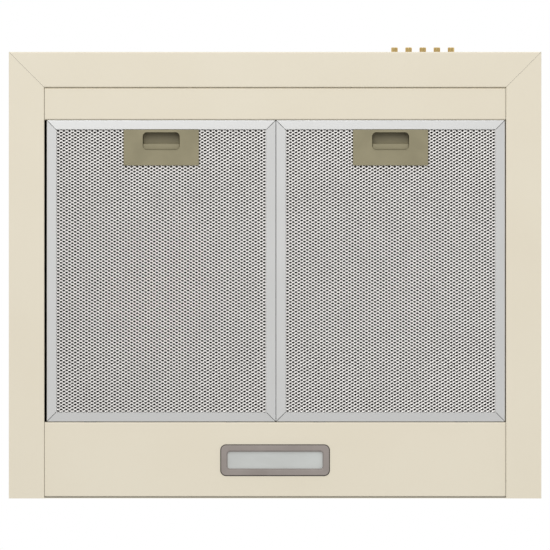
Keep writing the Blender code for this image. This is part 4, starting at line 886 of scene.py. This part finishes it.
BLACK = (0.022, 0.022, 0.023)
BLACK_PALE = (0.034, 0.034, 0.035)
ZINC = (0.60, 0.61, 0.62)
ZINC_DARK = (0.42, 0.43, 0.44)
TERMINAL_HALF = 0.0032
TERMINAL_TUCK = 0.001
TERMINAL_REACH = 0.0062
TERMINAL_LEVELS = (0.0030, 0.0038)

black = Finish("moulded_black_plastic", BLACK, 0.45)
black.tint(black.noise(40, detail=4).between(0.3, 0.8), BLACK_PALE)
black.set(Roughness=black.noise(350, detail=3) * 0.25 + 0.33)
black.bump(black.noise(1600, detail=1), 0.000025)

zinc = Finish("zinc_plate", ZINC, 0.35, 1.0)
crystals = zinc.cells(160)
zinc.tint(crystals * 0.55 + zinc.noise(30, detail=3) * 0.3, ZINC_DARK)
zinc.set(Roughness=crystals * 0.18 + zinc.noise(500) * 0.1 + 0.2)
zinc.bump(crystals, 0.000008)

SCREW_RADIUS = 0.0018
SCREW_HEAD_RADIUS = 0.0034
SCREW_HEAD_HEIGHT = 0.002
FLUSH_HEAD_HEIGHT = 0.0008
SCREW_CROWN = (
    (0, 0.35),
    (0.24, 0.35),
    (0.42, 0.98),
    (0.62, 1),
    (0.85, 0.84),
    (0.97, 0.5),
    (1, 0.12),
    (0.98, 0),
)
RECESS_LOBES = 0.42
THREAD_PITCH = 0.0009
THREAD_DEPTH = 0.00028
SCREW_STEPS = 32


def screw(node, seat, way, length, head):
    """A cross recessed screw: domed head, four-lobed recess, and a shank with a ring for each thread."""
    crown = [(SCREW_HEAD_RADIUS * out, head * up) for out, up in SCREW_CROWN] + [(SCREW_RADIUS, 0)]
    count = int(length / THREAD_PITCH) - 1
    shank = []
    for index in range(count):
        start = -THREAD_PITCH * (index + 0.6)
        shank.append((SCREW_RADIUS, start))
        shank.append((SCREW_RADIUS - THREAD_DEPTH, start - THREAD_PITCH / 2))
    profile = crown + shank + [(SCREW_RADIUS * 0.5, -length), (0, -length)]
    lobes = np.zeros(len(profile))
    lobes[1:3] = RECESS_LOBES
    piece = turned(node + "_turned", profile, seat, way, zinc, SCREW_STEPS, lobes)
    return fit(piece, NODE_BODIES[node], "zinc_steel", node)


shell("switch_body", black, 0.0004)
shell("switch_bracket", zinc, 0.0002)
switch_low, switch_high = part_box("switch_body")
for index in range(5):
    x = switch_low.x + (switch_high.x - switch_low.x) * (index + 0.5) / 5
    low = (x - TERMINAL_HALF, switch_high.y - TERMINAL_TUCK, switch_low.z + TERMINAL_LEVELS[0])
    high = (x + TERMINAL_HALF, switch_high.y + TERMINAL_REACH, switch_low.z + TERMINAL_LEVELS[1])
    blade = soft_block(f"switch_blade_{index + 1}", low, high, 0.0008, 0.0002, zinc)
    fit(blade, "casing", "zinc_steel", "switch_body")
for node in ("switch_screw_1", "switch_screw_2"):
    low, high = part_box(node)
    seat = ((low.x + high.x) / 2, (low.y + high.y) / 2, high.z - SCREW_HEAD_HEIGHT)
    screw(node, seat, (0, 0, 1), seat[2] - low.z, SCREW_HEAD_HEIGHT)
for node in ("lid_screw_1", "lid_screw_2"):
    low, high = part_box(node)
    seat = ((low.x + high.x) / 2, low.y + SCREW_HEAD_HEIGHT, (low.z + high.z) / 2)
    screw(node, seat, (0, -1, 0), high.y - seat[1], SCREW_HEAD_HEIGHT)
for index in range(4):
    node = f"collar_screw_{index + 1}"
    low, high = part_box(node)
    seat = ((low.x + high.x) / 2, (low.y + high.y) / 2, high.z - FLUSH_HEAD_HEIGHT)
    screw(node, seat, (0, 0, 1), seat[2] - low.z, FLUSH_HEAD_HEIGHT)


# Outlet: a grey moulded collar clamped under the top sheet, its spigot beaded for a duct. Two half-round
# flaps hang on one steel pin across it and fall shut on two stops.

GREY = (0.300, 0.310, 0.318)
GREY_DARK = (0.250, 0.258, 0.265)
COLLAR_RADIUS = 0.060
COLLAR_WALL = 0.0017
COLLAR_FLANGE = 0.0015
BEAD = 0.0007
BEAD_DROP = 0.005
PIN_BOSS = ((0.0016, 0), (0.0030, 0), (0.0034, 0.0006), (0.0034, 0.0034), (0.0030, 0.0040), (0.0016, 0.0040))
BOSS_PROUD = 0.0004
STOP_INSET = 0.0018
STOP_HALF = (0.005, 0.0025)
STOP_LEVELS = (-0.0028, -0.0013)
RIB_PLACES = (-0.5, 0.0, 0.5)
RIB_HALF = 0.0004
RIB_ENDS = (0.0055, 0.0545)
RIB_LEVELS = (0.0004, 0.0021)
RIB_SHIFT = 0.0012

grey = Finish("moulded_grey_plastic", GREY, 0.45)
grey.tint(grey.noise(28, detail=4).between(0.3, 0.8), GREY_DARK)
grey.set(Roughness=grey.noise(400, detail=3) * 0.22 + 0.36)
grey.bump(grey.noise(1500, detail=1), 0.00002)

collar_low, collar_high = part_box("outlet_collar")
outlet_y = (collar_low.y + collar_high.y) / 2
pin_low, pin_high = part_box("damper_pin")
pin_z = (pin_low.z + pin_high.z) / 2
flange_top = collar_low.z + COLLAR_FLANGE
inner_radius = COLLAR_RADIUS - COLLAR_WALL
flange_radius = (collar_high.x - collar_low.x) / 2
rim = collar_high.z
bead_z = rim - BEAD_DROP
profile = [
    *arc((COLLAR_RADIUS - COLLAR_WALL / 2, rim - COLLAR_WALL / 2), COLLAR_WALL / 2, 180, 0, 7),
    (COLLAR_RADIUS, bead_z + 0.0012),
    (COLLAR_RADIUS + BEAD * 0.8, bead_z + 0.0006),
    (COLLAR_RADIUS + BEAD, bead_z),
    (COLLAR_RADIUS + BEAD * 0.8, bead_z - 0.0006),
    (COLLAR_RADIUS, bead_z - 0.0012),
    (COLLAR_RADIUS, flange_top + 0.0006),
    (COLLAR_RADIUS + 0.0005, flange_top),
    (flange_radius - 0.0004, flange_top),
    (flange_radius, flange_top - 0.0004),
    (flange_radius, collar_low.z + 0.0003),
    (flange_radius - 0.0003, collar_low.z),
    (inner_radius + 0.0008, collar_low.z),
    (inner_radius, collar_low.z + 0.0008),
]
collar = turned("outlet_collar_spigot", profile, (0, outlet_y, 0), (0, 0, 1), grey, 128)
fit(collar, "casing", "grey_plastic", "outlet_collar")
for end, side in ((-1, "left"), (1, "right")):
    start = (end * (COLLAR_RADIUS + BOSS_PROUD), outlet_y, pin_z)
    ring = turned(f"outlet_pin_boss_{side}", PIN_BOSS, start, (-end, 0, 0), grey, 32)
    fit(ring, "casing", "grey_plastic", "outlet_collar")
for end, side in ((-1, "front"), (1, "rear")):
    y = outlet_y + end * (inner_radius - STOP_INSET)
    low = (-STOP_HALF[0], y - STOP_HALF[1], pin_z + STOP_LEVELS[0])
    high = (STOP_HALF[0], y + STOP_HALF[1], pin_z + STOP_LEVELS[1])
    stop = soft_block(f"outlet_flap_stop_{side}", low, high, 0.0008, 0.0004, grey)
    fit(stop, "casing", "grey_plastic", "outlet_collar")

shell("damper_pin", zinc, 0.0003)
for end, side in ((-1, "front"), (1, "rear")):
    node = "damper_flap_" + side
    shell(node, grey, 0.0002)
    low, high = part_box(node)
    for index, share in enumerate(RIB_PLACES):
        x = share * (high.x - low.x) / 2 + end * RIB_SHIFT
        far = math.sqrt(1 - share**2) * RIB_ENDS[1]
        ys = sorted((outlet_y + end * RIB_ENDS[0], outlet_y + end * far))
        rib_low = (x - RIB_HALF, ys[0], pin_z + RIB_LEVELS[0])
        rib_high = (x + RIB_HALF, ys[1], pin_z + RIB_LEVELS[1])
        rib = soft_block(f"{node}_rib_{index + 1}", rib_low, rib_high, 0.0003, 0.0002, grey)
        fit(rib, "flap_" + side, "grey_plastic", node)


# Blower: two moulded half scroll cases with rolled inlet rings, a steel bracket between them that holds
# the motor, and a forward curved wheel on each end of the motor's shaft.

BLADE_COUNT = 40
BLADE_THICKNESS = 0.0009
BLADE_INNER = 0.0362
BLADE_OUTER = 0.0458
BLADE_SWEEP = 24
BLADE_BOW = 0.0022
INLET_RADIUS = 0.040
CASE_WALL = 0.0025
WHEEL_DISC = (
    (0.0043, 0),
    (0.0458, 0),
    (0.0460, 0.0003),
    (0.0460, 0.0012),
    (0.0456, 0.0015),
    (0.0125, 0.0015),
    (0.0098, 0.0030),
    (0.0090, 0.0060),
    (0.0086, 0.0136),
    (0.0082, 0.0140),
    (0.0043, 0.0140),
)
WHEEL_RING = (
    (0.0360, -0.0018),
    (0.0460, -0.0018),
    (0.0460, -0.0002),
    (0.0457, 0),
    (0.0363, 0),
    (0.0360, -0.0003),
)
BLADE_SINK = (0.0010, 0.0014)
MOTOR_DOME = ((0.0043, 0), (0.0130, 0), (0.0140, -0.0006), (0.0150, -0.0012), (0.0290, -0.0036))
MOTOR_BAND = ((0, 0.0022), (-0.0005, 0.0014), (-0.0005, -0.0014), (0, -0.0022))

blower_low, blower_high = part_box("impeller_right")
blower_y, blower_z = (blower_low.y + blower_high.y) / 2, (blower_low.z + blower_high.z) / 2


def blade_ring(name, start, end, finish):
    """All blades of a wheel: a bowed strip from inner to outer radius, repeated round the X axis.

    A blade's middle line turns by the sweep as it goes out and bows forward by a half sine.
    """
    share = np.linspace(0, 1, 6)
    radius = BLADE_INNER + (BLADE_OUTER - BLADE_INNER) * share
    bow = BLADE_BOW * np.sin(math.pi * share)
    angle = np.radians(BLADE_SWEEP) * share + bow / radius
    half = BLADE_THICKNESS / 2 / radius
    outline_radius = np.concatenate([radius, radius[::-1]])
    outline_angle = np.concatenate([angle - half, (angle + half)[::-1]])
    spin = np.linspace(0, 2 * math.pi, BLADE_COUNT, endpoint=False)
    turn = outline_angle[None, :] + spin[:, None]
    y, z = blower_y + outline_radius * np.cos(turn), blower_z + outline_radius * np.sin(turn)
    near, far = np.stack([np.full_like(y, start), y, z], 2), np.stack([np.full_like(y, end), y, z], 2)
    points = np.stack([near, far], 1)
    count = points.shape[2]
    around = grid_faces(2, count, wrap_columns=True)
    pairs = np.arange(count // 2 - 1)
    cap = np.stack([pairs, pairs + 1, count - 2 - pairs, count - 1 - pairs], 1)
    cell = np.concatenate([around, cap, cap[:, ::-1] + count])
    faces = (cell[None] + 2 * count * np.arange(BLADE_COUNT)[:, None, None]).reshape(-1, 4)
    return closed_piece(name, points, faces.tolist(), finish)


for side, sign in (("left", -1), ("right", 1)):
    node = "blower_housing_" + side
    shell(node, black, 0.0006)
    low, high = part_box(node)
    face = max(abs(low.x), abs(high.x))
    bell = [
        *arc((INLET_RADIUS + 0.0016, face - CASE_WALL / 2), 0.0019, 270, 90, 9),
        (INLET_RADIUS + 0.0050, face + 0.0002),
        (INLET_RADIUS + 0.0052, face - 0.0004),
        (INLET_RADIUS + 0.0016, face - CASE_WALL),
    ]
    place = (0, blower_y, blower_z)
    ring = turned(node + "_inlet_ring", bell, place, (sign, 0, 0), black, 96)
    fit(ring, "casing", "black_plastic", node)

    node = "impeller_" + side
    low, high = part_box(node)
    near, far = sorted((abs(low.x), abs(high.x)))
    disc = [(radius, near + height) for radius, height in WHEEL_DISC]
    crown = [(radius, far + height) for radius, height in WHEEL_RING]
    blade_ends = (sign * (near + BLADE_SINK[0]), sign * (far - BLADE_SINK[1]))
    pieces = [
        turned(node + "_disc", disc, place, (sign, 0, 0), grey, 96),
        turned(node + "_end_ring", crown, place, (sign, 0, 0), grey, 96),
        blade_ring(node + "_blades", *blade_ends, grey),
    ]
    for piece in pieces:
        fit(piece, "fan", "grey_plastic", node)

shell("motor_bracket", zinc, 0.0002)
motor_low, motor_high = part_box("motor_body")
half, radius = (motor_high.x - motor_low.x) / 2, (motor_high.y - motor_low.y) / 2
dome = [(out, half + height) for out, height in MOTOR_DOME]
dome += arc((0.0300, half - 0.0100), 0.0060, 80, 0, 6)
band = [(radius + out, height) for out, height in MOTOR_BAND]
dome += band + [(out, -height) for out, height in dome[::-1]]
can = turned("motor_can", dome, (0, blower_y, blower_z), (1, 0, 0), zinc, 96)
fit(can, "casing", "zinc_steel", "motor_body")
shell("motor_shaft", zinc, 0.0004)


# Capacitor, lamp driver, wiring box and cable inlet: bought-in units fixed inside the casing. The
# capacitor is a white can with a crimped end, the others are grey or black mouldings.

CAN_WHITE = (0.72, 0.72, 0.69)
CAN_DARK = (0.64, 0.64, 0.60)
DRIVER_RIBS = (0.2, 0.32, 0.44, 0.56, 0.68, 0.8)
DRIVER_RIB_HALF = 0.0008
DRIVER_RIB_INSET = 0.004
DRIVER_RIB_LEVELS = (-0.0006, 0.0005)
GLAND_NECK = 0.008
GLAND_BORE = 0.0035

white = Finish("capacitor_can", CAN_WHITE, 0.4)
white.tint(white.noise(40, detail=3).between(0.3, 0.8), CAN_DARK)
white.set(Roughness=white.noise(300) * 0.2 + 0.3)
white.bump(white.noise(700), 0.00001)
low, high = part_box("capacitor")
length, radius = high.x - low.x, (high.y - low.y) / 2
profile = [
    (0, 0),
    (radius - 0.0032, 0.0002),
    (radius - 0.0026, 0),
    (radius - 0.0014, 0),
    *arc((radius - 0.0012, 0.0012), 0.0012, 280, 360),
    (radius, 0.0030),
    (radius - 0.0007, 0.0040),
    (radius, 0.0050),
    *arc((radius - 0.0014, length - 0.0014), 0.0014, 0, 90),
    (radius - 0.0030, length),
    (radius - 0.0036, length - 0.0008),
    (0, length - 0.0008),
]
centre = (low.x, (low.y + high.y) / 2, (low.z + high.z) / 2)
can = turned("capacitor_can", profile, centre, (1, 0, 0), white, 72)
fit(can, "casing", "capacitor_white", "capacitor")

low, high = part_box("led_driver")
case = soft_block("led_driver_case", low, high, 0.0025, 0.0012, grey)
fit(case, "casing", "grey_plastic", "led_driver")
for index, share in enumerate(DRIVER_RIBS):
    x = low.x + (high.x - low.x) * share
    rib_low = (x - DRIVER_RIB_HALF, low.y + DRIVER_RIB_INSET, high.z + DRIVER_RIB_LEVELS[0])
    rib_high = (x + DRIVER_RIB_HALF, high.y - DRIVER_RIB_INSET, high.z + DRIVER_RIB_LEVELS[1])
    rib = soft_block(f"led_driver_rib_{index + 1}", rib_low, rib_high, 0.0005, 0.0003, grey)
    fit(rib, "casing", "grey_plastic", "led_driver")

shell("terminal_box", grey, 0.0006)
shell("terminal_lid", grey, 0.0005)

low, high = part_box("cable_gland")
neck, flange, bore = GLAND_NECK, (high.x - low.x) / 2, GLAND_BORE
flange_z = high.z - 0.0012
profile = [
    (bore + 0.0012, high.z),
    (neck - 0.0003, high.z),
    (neck, high.z - 0.0003),
    (neck, flange_z),
    (flange - 0.0005, flange_z),
    (flange, flange_z - 0.0005),
    (flange, flange_z - 0.0024),
    (flange - 0.0006, flange_z - 0.0030),
    (neck, flange_z - 0.0030),
    (neck, low.z + 0.0030),
    (neck - 0.0008, low.z + 0.0012),
    (neck - 0.0016, low.z),
    (bore + 0.0006, low.z),
    (bore, low.z + 0.0006),
    (bore, high.z - 0.0012),
]
centre = ((low.x + high.x) / 2, (low.y + high.y) / 2, 0)
gland = turned("cable_gland_bush", profile, centre, (0, 0, 1), black, 64)
fit(gland, "casing", "black_plastic", "cable_gland")


# Leads: round sheathed leads between the units, held at both ends. Their sheath is soft black vinyl
# with a slight gloss and a faint wavy surface.

SHEATH = (0.030, 0.030, 0.033)
SHEATH_PALE = (0.050, 0.050, 0.054)

sheath = Finish("vinyl_sheath", SHEATH, 0.4)
sheath.tint(sheath.noise(60, detail=3), SHEATH_PALE)
sheath.set(Roughness=sheath.noise(400) * 0.2 + 0.32)
sheath.bump(sheath.noise(900), 0.00003)
for node in (n for n in frame["nodes"] if n.endswith("_lead")):
    shell(node, sheath, smooth_angle=70)


# Floor: a plain pale floor far below the hood.

FLOOR_LEVEL = -9.5
FLOOR_HALF = 30
FLOOR_GREY = (0.64, 0.64, 0.63)

floor_data = bpy.data.meshes.new("floor")
corners = [(-1, -1), (1, -1), (1, 1), (-1, 1)]
points = [(x * FLOOR_HALF, y * FLOOR_HALF, FLOOR_LEVEL) for x, y in corners]
floor_data.from_pydata(points, [], [(0, 1, 2, 3)])
floor = bpy.data.objects.new("floor", floor_data)
bpy.context.scene.collection.objects.link(floor)
pale = Finish("pale_floor", FLOOR_GREY, 0.7)
pale.set(Roughness=pale.noise(3) * 0.2 + 0.6)
floor_data.materials.append(pale.material)
